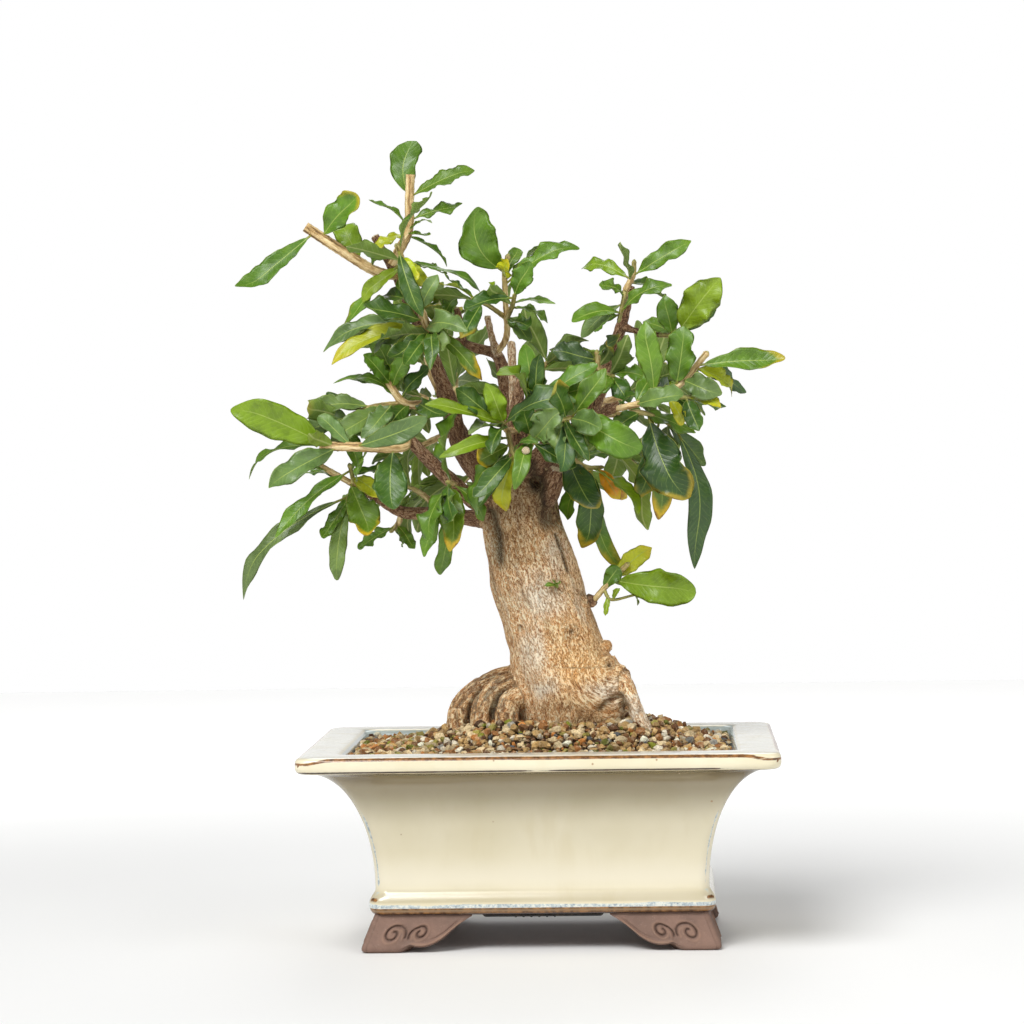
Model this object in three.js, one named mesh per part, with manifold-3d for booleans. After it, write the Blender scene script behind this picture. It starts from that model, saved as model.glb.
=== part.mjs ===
import * as THREE from 'three';
import { mergeVertices } from 'three/addons/utils/BufferGeometryUtils.js';
import Module from 'manifold-3d';

// A pomegranate bonsai in its glazed pot. Millimetres, +Z up, the front of the pot faces -Y.
// The shapes below are given from the middle of the pot, on the surface that it stands on.

// Clearance between two pieces that lie against each other.
const gap = 0.3;

// Edges shorter than this, left where two solids join, are drawn together.
const shortEdge = 0.02;

// Pot: its rim is a flat ledge with a dropped lip, over walls that flare out from a beaded base.
const rimHalf = [152, 118];
const rimTop = 128;
const rimDrop = 9;
const rimFlat = 27;
const flareStart = 40;
const flareReach = 40;
const baseZ = 24;
const baseInset = 44.5;
const floorZ = 35;
const wall = 8;
const cornerRadius = 9;
const drainRadius = 11;
const drainX = 50;

// Drainage meshes over the two holes.
const meshSide = 34;
const meshThick = 1.4;
const meshCell = 10;
const meshRib = 3;

// Tie wire that hangs a little under the base, with an end up through the floor on either side.
const wireRadius = 1;
const wireHang = 2.2;
const wireX = 38;
const wireY = -58;
const wireTop = 58;

// Feet: they stand in under the bead and splay outwards to the ground.
const footThick = 12;
const footInset = 2;
const footSplay = 0.35;
const footLengthY = 0.76;

// Soil: its height at the rim, the rise, middle and reach of the heap round the trunk, and how rough its top
// is. The heap is level up to the first share of its reach, and gone at the second.
const soilEdge = 123;
const soilMound = 16;
const soilMiddle = [12, 2];
const soilReach = [96, 72];
const soilShares = [0.55, 1.2];
const grit = 2.6;

// Leaves: thickness along the midrib, half the width of the stalk, its share of the length on placed and on
// filling leaves, and the tries that each leaf has.
const leafThick = 1.1;
const stalkHalf = 0.8;
const placedStalk = 0.1;
const fillingStalk = 0.08;
const attempts = 7;

// Where the middle of the pot lies in the part's own frame.
const potPlace = [20, -16];

// Trunk rings from below the soil to the fork: middle, half width and half depth.
const trunkRings = [
  [20, 0, 107, 22, 18], [20, 0, 125, 28, 23], [19, 0, 140, 34, 28], [20, 0, 153, 38.5, 31],
  [17, 0, 169, 37, 31], [10, 2, 186, 31.5, 28], [5, 3, 204, 30.5, 27], [-3, 4, 228, 30.5, 27],
  [-8, 5, 250, 28.5, 26], [-12, 6, 271, 25.5, 25], [-14, 6, 287, 24, 23], [-16, 6, 297, 17, 18],
];

// Surface roots, each a bent line of points with its radius.
const roots = {
  rib1: [
    [-13, 8, 167, 9], [-22, 6, 168, 7.6], [-31, 3, 166, 7.4], [-41, 0, 162, 7.2], [-49, -3, 155, 7.3],
    [-54, -5, 148, 7.6], [-55, -7, 140, 8], [-56, -8, 125, 8.4],
  ],
  rib2: [
    [-11, -1, 163, 9], [-21, -4, 163, 7.6], [-30, -8, 160, 7.4], [-36, -12, 154, 7.4],
    [-39, -14, 147, 7.6], [-40, -16, 125, 7.8],
  ],
  rib3: [
    [-6, -8, 155, 9], [-14, -12, 157, 7.6], [-21, -18, 153, 7.6], [-23, -20, 147, 7.8],
    [-23, -22, 125, 8.2],
  ],
  leg: [
    [40, -8, 169, 12], [52, -16, 163, 6.6], [57, -21, 155, 4.8], [62, -25, 145, 4],
    [68, -28, 133, 3.4], [70, -29, 124, 3.2],
  ],
  backRightRoot: [[27, 14, 158, 12], [44, 40, 150, 8], [59, 58, 133, 6], [68, 68, 112, 4.6]],
  backLeftRoot: [[1, 16, 159, 12], [-21, 42, 153, 8], [-38, 58, 138, 6.4], [-50, 68, 113, 4.8]],
  backRoot: [[15, 14, 159, 12], [14, 48, 151, 8], [10, 66, 137, 6.4], [8, 80, 112, 4.8]],
};

// Old branches and stubs, from inside the trunk to their cut ends.
const branches = {
  leftLow: [
    [-25, -2, 281, 8], [-40, -10, 283, 6], [-57, -16, 298, 5], [-73, -20, 314, 4.4],
    [-86, -24, 329, 3.4],
  ],
  leftLowest: [
    [-25, 6, 271, 8], [-47, 12, 273, 5.4], [-67, 18, 276, 4.6], [-91, 22, 277, 4],
    [-107, 18, 286, 3.2], [-117, 12, 292, 2.8],
  ],
  leftUp: [
    [-23, 10, 286, 11], [-37, 16, 300, 8.5], [-52, 22, 319, 6.6], [-59, 26, 347, 5.4],
    [-72, 20, 384, 4.6], [-85, 12, 417, 4], [-95, 6, 440, 3.2],
  ],
  centre: [[-13, 0, 294, 11], [-13, -6, 318, 6.5], [-14, -8, 340, 5], [-10, -12, 367, 2.8]],
  centrePale: [[-14, -6, 330, 4], [-16, -2, 346, 3], [-17, 2, 388, 2.9]],
  centreBack: [
    [-13, 4, 314, 6], [-21, 26, 347, 5], [-27, 40, 378, 4], [-42, 44, 385, 3.4], [-57, 42, 390, 2.8],
  ],
  redStub: [[-27, 40, 378, 3.6], [-31, 34, 391, 2.4], [-34, 30, 406, 2.3]],
  right: [
    [-3, 8, 297, 10], [14, 24, 316, 6.5], [34, 30, 343, 5.2], [46, 24, 372, 4.6], [55, 16, 398, 3.8],
    [62, 10, 423, 2.7],
  ],
  rightLow: [
    [-6, -8, 301, 8], [8, -26, 323, 3.8], [28, -34, 333, 3.2], [46, -40, 341, 2.8],
    [53, -42, 343, 2.4],
  ],
  frontStub: [[-11, -6, 305, 6], [-8, -26, 314, 3.2], [-7, -42, 316, 2.7]],
  backLeft: [[-21, 16, 289, 10], [-41, 42, 312, 5.5], [-58, 66, 335, 4.4], [-70, 82, 357, 3.2]],
  backRight: [[-6, 18, 293, 10], [10, 44, 315, 5.5], [31, 68, 333, 4.4], [50, 82, 348, 3]],
  backTop: [[-14, 10, 304, 9], [-13, 40, 330, 5], [-8, 58, 349, 4], [-5, 68, 362, 3]],
  lowRight: [[19, 0, 215, 6], [31, -6, 217, 3.6], [35, -8, 219, 3]],
  dead: [[0, -6, 281, 10], [9, -12, 296, 7.5], [13, -14, 304, 6]],
  darkStub: [[-95, 6, 438, 3], [-100, 8, 448, 2.6], [-106, 10, 459, 2.9]],
  darkStub2: [[-51, 42, 387, 2.6], [-51, 38, 399, 2.2], [-55, 36, 412, 2.2]],
  rightFork: [[55, 16, 397, 3], [67, 8, 393, 1.9], [83, 0, 390, 1.6]],
};

// Leafy shoots. The foot is a point in the old wood. A stem is a line of points with its radius, and the
// first stem starts at the foot. A leaf is: stem, place along it, tip, width, turn of its face, and its sway
// to one side where that isn't left to chance.
const shoots = [
  {
    name: 'top',
    foot: [-95, 6, 440],
    stems: [
      [[-90, 4, 448, 2.9], [-83, 2, 462, 2.8], [-82, 1, 481, 2.7], [-81, 0, 498, 2.6]],
    ],
    leaves: [
      [0, 0.69, -79, 14, 521, 19, 86, -0.14], [0, 0.71, -40, -4, 501, 14, 40],
      [0, 0.44, -47, 4, 477, 11, 35], [0, 0.36, -110, 6, 480, 7, 15], [0, 0.26, -106, -14, 447, 9, 45],
      [0, 0.26, -57, 0, 440, 8, 15], [0, 0.29, -67, -12, 468, 6, 20], [0, 0.28, -67, -14, 456, 6, 30],
    ],
    fill: 0,
  },
  {
    name: 'top_left',
    foot: [-98, 8, 430],
    stems: [
      [[-106, 4, 436, 3.1], [-128, 0, 450, 3.1], [-150, -4, 465, 3.1]],
    ],
    leaves: [
      [0, 0.76, -112, -14, 484, 19, 80], [0, 0.87, -191, -24, 420, 15, 62],
      [0, 0.19, -128, 14, 469, 17, 80], [0, 0.05, -98, 16, 449, 8, 20],
    ],
    fill: 0,
  },
  {
    name: 'upper_mid',
    foot: [-89, 10, 427],
    stems: [
      [[-86, -4, 436, 2.2], [-87, -12, 444, 1.9], [-89, -18, 450, 1.7]],
    ],
    leaves: [
      [0, 0.84, -73, -34, 402, 12, 72], [0, 0.50, -78, -26, 425, 12, 75],
      [0, 0.46, -70, -8, 424, 9, 70], [0, 0.35, -33, 10, 424, 8, 20],
      [0, 0.15, -115, -10, 418, 10, 60], [0, 0.30, -129, -2, 392, 10, 40],
      [0, 0.07, -60, 14, 432, 9, 25],
    ],
    fill: 2,
  },
  {
    name: 'tan_stub',
    foot: [-70, 20, 380],
    stems: [
      [[-70, -4, 390, 2.5], [-73, -16, 405, 2.4], [-79, -20, 417, 2.3]],
      [[-70, -4, 390, 2.2], [-67, -22, 396, 1.9]],
    ],
    leaves: [
      [0, 0.38, -112, -30, 410, 17, 60], [0, 0.28, -108, -8, 386, 13, 50],
      [1, 0.60, -56, -46, 381, 17, 85], [1, 0.69, -94, -44, 374, 12, 60],
      [1, 0.69, -85, -50, 368, 11, 70], [1, 0.79, -64, -52, 371, 11, 80],
      [0, 0.21, -140, 2, 387, 12, 50], [0, 0.30, -134, -16, 378, 14, 60],
      [0, 0.63, -62, -24, 430, 12, 75], [1, 0.90, -36, -30, 363, 11, 60],
      [0, 0.66, -92, -2, 427, 9, 30],
    ],
    fill: 3,
  },
  {
    name: 'left_mid',
    foot: [-60, 26, 349],
    stems: [
      [[-74, 0, 348, 2.6], [-87, -12, 349, 2.4], [-97, -14, 363, 2.3]],
      [[-87, -12, 349, 1.8], [-110, -16, 346, 1.6], [-134, -18, 335, 1.3]],
    ],
    leaves: [
      [0, 0.53, -119, -10, 368, 9, 40], [0, 0.75, -133, 0, 366, 7, 20],
      [0, 0.12, -56, -44, 337, 12, 80], [1, 0.45, -146, -24, 346, 13, 50],
      [1, 0.74, -149, -36, 331, 16, 70], [1, 0.82, -115, -30, 306, 11, 60],
      [1, 0.96, -156, -8, 322, 12, 40], [1, 0.26, -133, -42, 326, 15, 72],
      [1, 0.17, -109, -44, 328, 14, 70], [0, 0.91, -112, -28, 382, 12, 60],
      [0, 0.86, -82, -30, 381, 12, 70], [0, 0.35, -97, -34, 330, 14, 80],
      [0, 0.58, -67, -26, 371, 13, 60],
    ],
    fill: 7,
  },
  {
    name: 'left_cut',
    foot: [-84, -24, 327],
    stems: [
      [[-88, -34, 320, 2.9], [-118, -42, 321, 2.8], [-139, -46, 322, 2.7]],
    ],
    leaves: [
      [0, 0.87, -192, -60, 349, 23, 78], [0, 0.69, -172, -72, 296, 16, 70],
      [0, 0.47, -70, -62, 336, 15, 72], [0, 0.07, -92, -62, 279, 22, 82],
      [0, 0.84, -190, -24, 309, 9, 40], [0, 0.18, -121, -14, 338, 12, 60],
      [0, 0.51, -139, -30, 342, 12, 50],
    ],
    fill: 2,
  },
  {
    name: 'left_low',
    foot: [-116, 12, 292],
    stems: [
      [[-122, 4, 296, 2.1], [-142, 0, 308, 1.9]],
      [[-122, 4, 296, 1.7], [-122, -4, 301, 1.5], [-123, -10, 308, 1.4]],
      [[-122, 4, 295, 1.8], [-125, -4, 287, 1.4]],
    ],
    leaves: [
      [1, 0.83, -172, -22, 262, 11, 45], [2, 0.83, -201, -12, 231, 12, 50],
      [2, 0.67, -142, -18, 261, 10, 45], [2, 0.80, -132, -28, 236, 11, 60],
      [0, 0.13, -107, -26, 261, 20, 80], [0, 0.46, -159, 16, 281, 10, 40],
      [1, 0.58, -95, -20, 305, 9, 40], [0, 0.77, -161, -10, 306, 10, 40],
      [1, 0.50, -99, -26, 286, 11, 60],
    ],
    fill: 2,
  },
  {
    name: 'low_back_left',
    foot: [-93, 22, 277],
    stems: [
      [[-95, 30, 270, 1.9], [-100, 36, 265, 1.5]],
    ],
    leaves: [
      [0, 0.28, -85, 24, 252, 8, 50], [0, 0.56, -122, 40, 253, 11, 50],
      [0, 0.78, -94, 48, 254, 10, 50],
    ],
    fill: 0,
  },
  {
    name: 'low_mid',
    foot: [-54, -16, 294],
    stems: [
      [[-55, -30, 296, 2], [-57, -40, 297, 1.7]],
    ],
    leaves: [
      [0, 0.80, -75, -44, 250, 10, 50], [0, 0.60, -53, -56, 255, 17, 82],
      [0, 0.50, -64, -30, 237, 11, 60], [0, 0.00, -35, -28, 272, 9, 40],
    ],
    fill: 3,
  },
  {
    name: 'front_left',
    foot: [-13, -8, 329],
    stems: [
      [[-19, -28, 330, 2.1], [-21, -38, 334, 1.7]],
      [[-19, -28, 330, 1.8], [-16, -44, 319, 1.6], [-13, -50, 312, 1.5]],
    ],
    leaves: [
      [1, 0.84, -39, -66, 286, 13, 72], [1, 0.59, -36, -54, 279, 11, 60],
      [0, 0.72, -51, -46, 359, 14, 68], [0, 0.90, -69, -56, 349, 10, 50],
      [1, 0.22, -58, -66, 315, 10, 50], [1, 0.41, -38, -44, 310, 15, 60],
      [0, 0.92, -30, -50, 361, 13, 75], [1, 0.88, -24, -40, 278, 12, 60],
    ],
    fill: 5,
  },
  {
    name: 'front_centre',
    foot: [-13, -8, 334],
    stems: [
      [[-4, -28, 341, 2], [0, -38, 346, 1.7]],
      [[-4, -28, 341, 1.8], [-4, -42, 329, 1.6], [-3, -48, 321, 1.5]],
    ],
    leaves: [
      [0, 0.85, 3, -50, 371, 13, 76], [0, 1.00, 40, -46, 371, 14, 64], [1, 0.67, -8, -62, 344, 17, 80],
      [1, 0.96, 16, -66, 343, 18, 76], [0, 0.85, 50, -58, 359, 17, 74],
      [0, 0.31, -7, -30, 385, 14, 75], [1, 0.92, 25, -52, 304, 12, 60],
      [1, 0.83, -11, -80, 296, 11, 60],
    ],
    fill: 3,
  },
  {
    name: 'front_mid',
    foot: [28, -34, 333],
    stems: [
      [[23, -48, 337, 1.8], [17, -56, 336, 1.6]],
    ],
    leaves: [
      [0, 0.19, 42, -74, 330, 18, 78], [0, 0.00, 46, -60, 366, 14, 74],
      [0, 0.60, 10, -88, 362, 14, 74], [0, 0.02, 64, -72, 315, 23, 80],
      [0, 0.62, 12, -88, 318, 14, 74],
    ],
    fill: 2,
  },
  {
    name: 'front_right',
    foot: [51, -42, 342],
    stems: [
      [[64, -46, 345, 2.1], [74, -47, 348, 2], [92, -44, 357, 2], [109, -40, 376, 2]],
      [[82, -46, 350, 1.6], [92, -50, 349, 1.4], [99, -52, 349, 1.2]],
    ],
    leaves: [
      [0, 0.00, 97, -66, 351, 15, 70], [1, 0.90, 118, -62, 344, 9, 50],
      [0, 0.72, 116, -64, 350, 16, 78], [0, 0.63, 96, -56, 393, 19, 80],
      [0, 0.88, 160, -44, 371, 15, 70], [0, 0.86, 128, -28, 352, 13, 55],
      [1, 0.32, 100, -40, 340, 12, 60], [1, 0.13, 95, -58, 332, 8, 60],
      [1, 0.80, 105, -60, 327, 12, 75], [0, 0.00, 75, -30, 363, 11, 60],
      [0, 0.37, 68, -54, 397, 16, 74], [0, 0.48, 52, -24, 348, 12, 50],
    ],
    fill: 3,
  },
  {
    name: 'hang_right',
    foot: [41, -38, 339],
    stems: [
      [[54, -28, 339, 1.9], [67, -32, 340, 1.7], [78, -26, 336, 1.5], [90, -18, 330, 1.3]],
    ],
    leaves: [
      [0, 0.48, 92, -56, 285, 28, 84], [0, 0.55, 81, -30, 271, 15, 70],
      [0, 0.96, 95, -22, 238, 15, 72, -0.13], [0, 0.70, 66, -8, 283, 14, 60],
      [0, 0.33, 49, -40, 328, 12, 60], [0, 0.77, 105, 6, 307, 13, 60],
    ],
    fill: 3,
  },
  {
    name: 'right_top',
    foot: [60, 12, 414],
    stems: [
      [[58, -3, 419, 2.1], [63, -1, 429, 1.9], [64, -1, 437, 1.6]],
      [[58, -3, 419, 1.6], [56, -10, 409, 1.5], [54, -13, 401, 1.3]],
    ],
    leaves: [
      [0, 0.38, 29, 14, 438, 11, 60], [0, 0.50, 101, -6, 451, 13, 60], [1, 0.17, 42, -20, 422, 10, 50],
      [1, 0.42, 31, -24, 390, 12, 50], [1, 0.74, 86, -30, 423, 12, 60], [1, 0.83, 38, 2, 394, 10, 50],
      [0, 0.27, 80, 26, 414, 12, 50],
    ],
    fill: 2,
  },
  {
    name: 'right_fork',
    foot: [80, 1, 390],
    stems: [
      [[88, -6, 390, 1.6], [93, -10, 392, 1.4]],
    ],
    leaves: [
      [0, 0.80, 119, -20, 426, 23, 84], [0, 0.05, 82, -14, 415, 15, 78],
      [0, 0.00, 99, -28, 378, 11, 60], [0, 0.30, 71, 10, 399, 11, 60],
    ],
    fill: 1,
  },
  {
    name: 'right_inner',
    foot: [43, 26, 360],
    stems: [
      [[40, 12, 367, 1.9], [39, 8, 379, 1.7]],
      [[40, 12, 367, 1.7], [49, -6, 364, 1.5]],
    ],
    leaves: [
      [0, 0.66, 11, 0, 383, 17, 76], [1, 0.68, 73, -10, 362, 11, 60], [0, 0.34, 21, -6, 354, 12, 60],
      [0, 0.88, 56, -10, 389, 10, 50], [1, 0.93, 36, -24, 351, 13, 70],
      [1, 0.93, 60, -20, 346, 13, 70],
    ],
    fill: 2,
  },
  {
    name: 'top_centre',
    foot: [-26, 38, 382],
    stems: [
      [[-21, 26, 393, 2.1], [-21, 16, 416, 1.9], [-21, 12, 435, 1.7], [-19, 11, 443, 1.6]],
      [[-21, 22, 403, 1.8], [-16, 2, 411, 1.6], [-14, -8, 417, 1.4]],
      [[-21, 22, 404, 1.7], [-32, 12, 412, 1.5], [-41, 6, 416, 1.3]],
    ],
    leaves: [
      [0, 0.64, -40, 0, 476, 26, 78, -0.18], [0, 0.60, -18, -4, 440, 12, 70],
      [1, 0.90, -46, -24, 408, 13, 60], [0, 0.50, 26, 6, 452, 14, 60], [1, 0.95, 0, -22, 438, 14, 70],
      [1, 0.65, 12, -14, 411, 8, 25], [1, 0.44, 8, -4, 400, 9, 30], [0, 0.10, -2, -2, 395, 11, 45],
      [0, 0.18, -5, 4, 386, 11, 45], [2, 0.93, -62, -2, 431, 8, 25], [2, 1.00, -68, -6, 425, 7, 15],
      [2, 0.72, -48, -14, 390, 12, 60], [0, 0.56, -11, 26, 449, 10, 40],
      [2, 0.57, -25, -2, 425, 9, 40],
    ],
    fill: 3,
  },
  {
    name: 'upper_back',
    foot: [-56, 42, 389],
    stems: [
      [[-64, 42, 395, 1.9], [-67, 40, 403, 1.6]],
    ],
    leaves: [
      [0, 0.50, -55, 36, 420, 10, 50], [0, 0.67, -82, 46, 418, 11, 50],
      [0, 0.33, -88, 54, 396, 12, 50], [0, 0.83, -52, 58, 411, 10, 40],
    ],
    fill: 5,
  },
  {
    name: 'low_right',
    foot: [35, -8, 219],
    stems: [
      [[41, -11, 226, 1.9], [47, -12, 232, 1.8], [56, -14, 241, 1.7]],
      [[41, -11, 226, 1.3], [46, -14, 219, 1], [61, -18, 222, 0.8]],
    ],
    leaves: [
      [0, 0.47, 101, -34, 226, 23, 80], [0, 0.54, 72, -6, 253, 13, 76],
      [0, 0.00, 51, -16, 240, 11, 70], [1, 0.30, 42, -16, 209, 4, 50], [1, 0.54, 51, -20, 227, 4, 50],
      [0, 0.40, 64, 6, 216, 8, 50],
    ],
    fill: 0,
  },
  {
    name: 'hang_centre',
    foot: [16, 24, 318],
    stems: [
      [[18, 2, 314, 2.2], [24, -10, 309, 1.9], [32, -14, 305, 1.6], [40, -14, 305, 1.3]],
    ],
    leaves: [
      [0, 0.04, 39, -34, 273, 20, 76], [0, 0.78, 31, -6, 251, 17, 72], [0, 0.94, 52, -20, 284, 10, 70],
      [0, 0.89, 55, 0, 283, 9, 60], [0, 0.44, 34, -28, 296, 6, 60], [0, 0.19, 48, 14, 236, 12, 60],
      [0, 0.39, 14, -2, 323, 12, 50], [0, 0.61, 17, 12, 273, 12, 60],
    ],
    fill: 2,
  },
  {
    name: 'back_left_low',
    foot: [-54, 60, 328],
    stems: [
      [[-67, 72, 327, 2.3], [-84, 82, 320, 2], [-99, 88, 311, 1.6]],
    ],
    leaves: [],
    fill: 8,
  },
  {
    name: 'back_left_end',
    foot: [-69, 82, 355],
    stems: [
      [[-77, 90, 371, 2.4], [-85, 92, 384, 2], [-93, 90, 393, 1.6]],
    ],
    leaves: [],
    fill: 9,
  },
  {
    name: 'back_left_out',
    foot: [-62, 74, 344],
    stems: [
      [[-60, 88, 354, 2.2], [-60, 102, 362, 1.8], [-60, 112, 369, 1.5]],
    ],
    leaves: [],
    fill: 7,
  },
  {
    name: 'back_right_low',
    foot: [28, 66, 331],
    stems: [
      [[38, 76, 323, 2.3], [52, 84, 314, 2], [65, 86, 302, 1.6]],
    ],
    leaves: [],
    fill: 8,
  },
  {
    name: 'back_right_end',
    foot: [49, 82, 347],
    stems: [
      [[59, 84, 355, 2.4], [73, 82, 364, 2], [82, 78, 372, 1.6]],
    ],
    leaves: [],
    fill: 9,
  },
  {
    name: 'back_right_out',
    foot: [39, 74, 339],
    stems: [
      [[40, 90, 348, 2.2], [40, 104, 357, 1.8], [38, 112, 365, 1.5]],
    ],
    leaves: [],
    fill: 7,
  },
  {
    name: 'back_top_end',
    foot: [-5, 67, 361],
    stems: [
      [[-3, 74, 366, 2.3], [1, 78, 372, 2], [5, 80, 377, 1.6]],
    ],
    leaves: [],
    fill: 8,
  },
  {
    name: 'back_top_low',
    foot: [-11, 46, 334],
    stems: [
      [[-13, 60, 338, 2.3], [-16, 74, 345, 2], [-20, 86, 351, 1.6]],
    ],
    leaves: [],
    fill: 7,
  },
  {
    name: 'back_mid_left',
    foot: [-41, 42, 312],
    stems: [
      [[-46, 58, 304, 2.2], [-52, 72, 298, 1.9], [-58, 82, 293, 1.5]],
    ],
    leaves: [],
    fill: 6,
  },
  {
    name: 'back_mid_right',
    foot: [10, 44, 315],
    stems: [
      [[13, 60, 308, 2.2], [17, 74, 304, 1.9], [20, 84, 300, 1.5]],
    ],
    leaves: [],
    fill: 6,
  },
  {
    name: 'mid_left',
    foot: [-61, 26, 347],
    stems: [
      [[-69, 46, 348, 2.2], [-79, 58, 353, 1.9], [-90, 64, 357, 1.5]],
    ],
    leaves: [],
    fill: 9,
  },
  {
    name: 'mid_right',
    foot: [38, 29, 347],
    stems: [
      [[46, 46, 349, 2.2], [57, 56, 353, 1.9], [67, 60, 357, 1.5]],
    ],
    leaves: [],
    fill: 8,
  },
  {
    name: 'mid_low_left',
    foot: [-69, 19, 276],
    stems: [
      [[-75, 32, 285, 2], [-84, 42, 291, 1.7], [-94, 48, 295, 1.4]],
    ],
    leaves: [],
    fill: 7,
  },
];

// The burl and the little dead stub on the right of the trunk's foot.
const burl = {
  at: [45, -8, 165],
  size: [14, 15, 13],
  stubAt: [41, -4, 188],
  stubSize: [5, 4, 4],
};

const wasm = await Module();
wasm.setup();

const zAxis = new THREE.Vector3(0, 0, 1);
const towardsFront = new THREE.Vector3(0, -1, 0);
// A way that no branch or stem follows, to start the turn of a tube's rings from.
const askew = new THREE.Vector3(0.3, -0.5, 0.81);

// A number from 0 to 1 that depends on nothing but the three counters.
function chance(a, b, c) {
  const v = Math.sin(a * 12.9898 + b * 78.233 + c * 37.719) * 43758.5453;
  return v - Math.floor(v);
}

function solidOf(geometry) {
  const bare = geometry.clone();
  bare.deleteAttribute('normal');
  bare.deleteAttribute('uv');
  const merged = mergeVertices(bare, 1e-4);
  return new wasm.Manifold(new wasm.Mesh({
    numProp: 3,
    vertProperties: new Float32Array(merged.attributes.position.array),
    triVerts: new Uint32Array(merged.index.array),
  }));
}

function geometryOf(solid) {
  const mesh = solid.getMesh();
  const geometry = new THREE.BufferGeometry();
  geometry.setAttribute('position', new THREE.BufferAttribute(new Float32Array(mesh.vertProperties), 3));
  geometry.setIndex(withoutShortEdges(mesh.triVerts, geometry.attributes.position));
  geometry.computeVertexNormals();
  return geometry;
}

// The triangles again, with the two ends of every short edge as one, and without those that this flattens.
function withoutShortEdges(index, position) {
  const stand = Array.from({ length: position.count }, (_, i) => i);
  const standFor = (i) => (stand[i] === i ? i : standFor(stand[i]));
  const point = (i) => new THREE.Vector3().fromBufferAttribute(position, i);
  for (let i = 0; i < index.length; i++) {
    const next = i % 3 === 2 ? i - 2 : i + 1;
    const [a, b] = [standFor(index[i]), standFor(index[next])];
    if (a !== b && point(a).distanceTo(point(b)) < shortEdge) stand[b] = a;
  }
  const kept = [];
  for (let i = 0; i < index.length; i += 3) {
    const corners = Array.from(index.slice(i, i + 3), standFor);
    if (new Set(corners).size === 3) kept.push(...corners);
  }
  return kept;
}

const joined = (solids) => solids.reduce((all, next) => all.add(next));

// A closed skin over rings of equal length that turn right-handed about the way they follow. The ends are
// flat, or come to a point where one is given. From ring point `flip` on, the quads are split the other way.
function loft(rings, { first = null, last = null, flip = Infinity } = {}) {
  const count = rings[0].length;
  const points = rings.flat();
  const faces = [];
  for (let i = 0; i + 1 < rings.length; i++) {
    for (let j = 0; j < count; j++) {
      const a = i * count + j;
      const b = i * count + ((j + 1) % count);
      const c = b + count;
      const d = a + count;
      if (j < flip) faces.push(a, b, c, a, c, d);
      else faces.push(a, b, d, b, c, d);
    }
  }
  const end = (rings.length - 1) * count;
  if (first) {
    points.push(first);
    for (let j = 0; j < count; j++) faces.push(j, points.length - 1, (j + 1) % count);
  } else {
    for (let j = 1; j + 1 < count; j++) faces.push(0, j + 1, j);
  }
  if (last) {
    points.push(last);
    for (let j = 0; j < count; j++) faces.push(end + j, end + ((j + 1) % count), points.length - 1);
  } else {
    for (let j = 1; j + 1 < count; j++) faces.push(end, end + j, end + j + 1);
  }
  const geometry = new THREE.BufferGeometry().setFromPoints(points);
  geometry.setIndex(faces);
  return geometry;
}

// A tube of flat sides along bent lines, with its rings square to the middle of each bend.
function tube(line, sides, grow = 0) {
  const at = line.map(([x, y, z]) => new THREE.Vector3(x, y, z));
  const ways = at.slice(1).map((p, i) => p.clone().sub(at[i]).normalize());
  at[0].addScaledVector(ways[0], -grow);
  at[at.length - 1].addScaledVector(ways[ways.length - 1], grow);
  let across = ways[0].clone().cross(askew).normalize();
  const rings = at.map((p, i) => {
    const [before, after] = [ways[Math.max(0, i - 1)], ways[Math.min(i, ways.length - 1)]];
    const way = before.clone().add(after).normalize();
    across = across.addScaledVector(way, -across.dot(way)).normalize();
    const second = way.clone().cross(across);
    const radius = line[i][3] + grow;
    return Array.from({ length: sides }, (_, k) => {
      const turn = (2 * Math.PI * k) / sides;
      return p.clone()
        .addScaledVector(across, radius * Math.cos(turn))
        .addScaledVector(second, radius * Math.sin(turn));
    });
  });
  return solidOf(loft(rings));
}

const sidesFor = (radius) => (radius > 7 ? 8 : radius > 4 ? 6 : radius > 3.4 ? 5 : 4);

// The outline of the pot at one height: a rectangle with round corners, its straight sides split in parts.
function outline(inset, z, radius = cornerRadius, parts = [1, 1]) {
  const half = [rimHalf[0] - inset, rimHalf[1] - inset];
  const ring = [];
  const steps = 3;
  const corners = [[1, 1], [-1, 1], [-1, -1], [1, -1]];
  corners.forEach(([sx, sy], k) => {
    const middle = [sx * (half[0] - radius), sy * (half[1] - radius)];
    for (let s = 0; s <= steps; s++) {
      const turn = (Math.PI / 2) * (k + s / steps);
      ring.push([middle[0] + radius * Math.cos(turn), middle[1] + radius * Math.sin(turn)]);
    }
    const [nx, ny] = corners[(k + 1) % 4];
    const turn = (Math.PI / 2) * (k + 1);
    const from = ring[ring.length - 1];
    const to = [
      nx * (half[0] - radius) + radius * Math.cos(turn),
      ny * (half[1] - radius) + radius * Math.sin(turn),
    ];
    const count = parts[k % 2];
    for (let s = 1; s < count; s++) {
      ring.push([from[0] + ((to[0] - from[0]) * s) / count, from[1] + ((to[1] - from[1]) * s) / count]);
    }
  });
  return ring.map(([x, y]) => new THREE.Vector3(x, y, z));
}

// How far the outer wall stands in from the rim's edge: a quarter of an ellipse, upright at the foot.
function flare(z) {
  const rise = Math.min(1, Math.max(0, (z - flareStart) / (rimTop - rimDrop - 2 - flareStart)));
  return 5.5 + flareReach * Math.sqrt(1 - rise * rise);
}

// Heights and insets of the inner wall, which the soil follows too.
const innerWall = [
  [floorZ, baseInset + wall + 4],
  [floorZ + 8, baseInset + wall + 1],
  [66, flare(66) + wall],
  [88, flare(88) + wall],
  [108, flare(108) + wall + 1],
  [rimTop - 3, rimFlat + 1.4],
];

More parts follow.
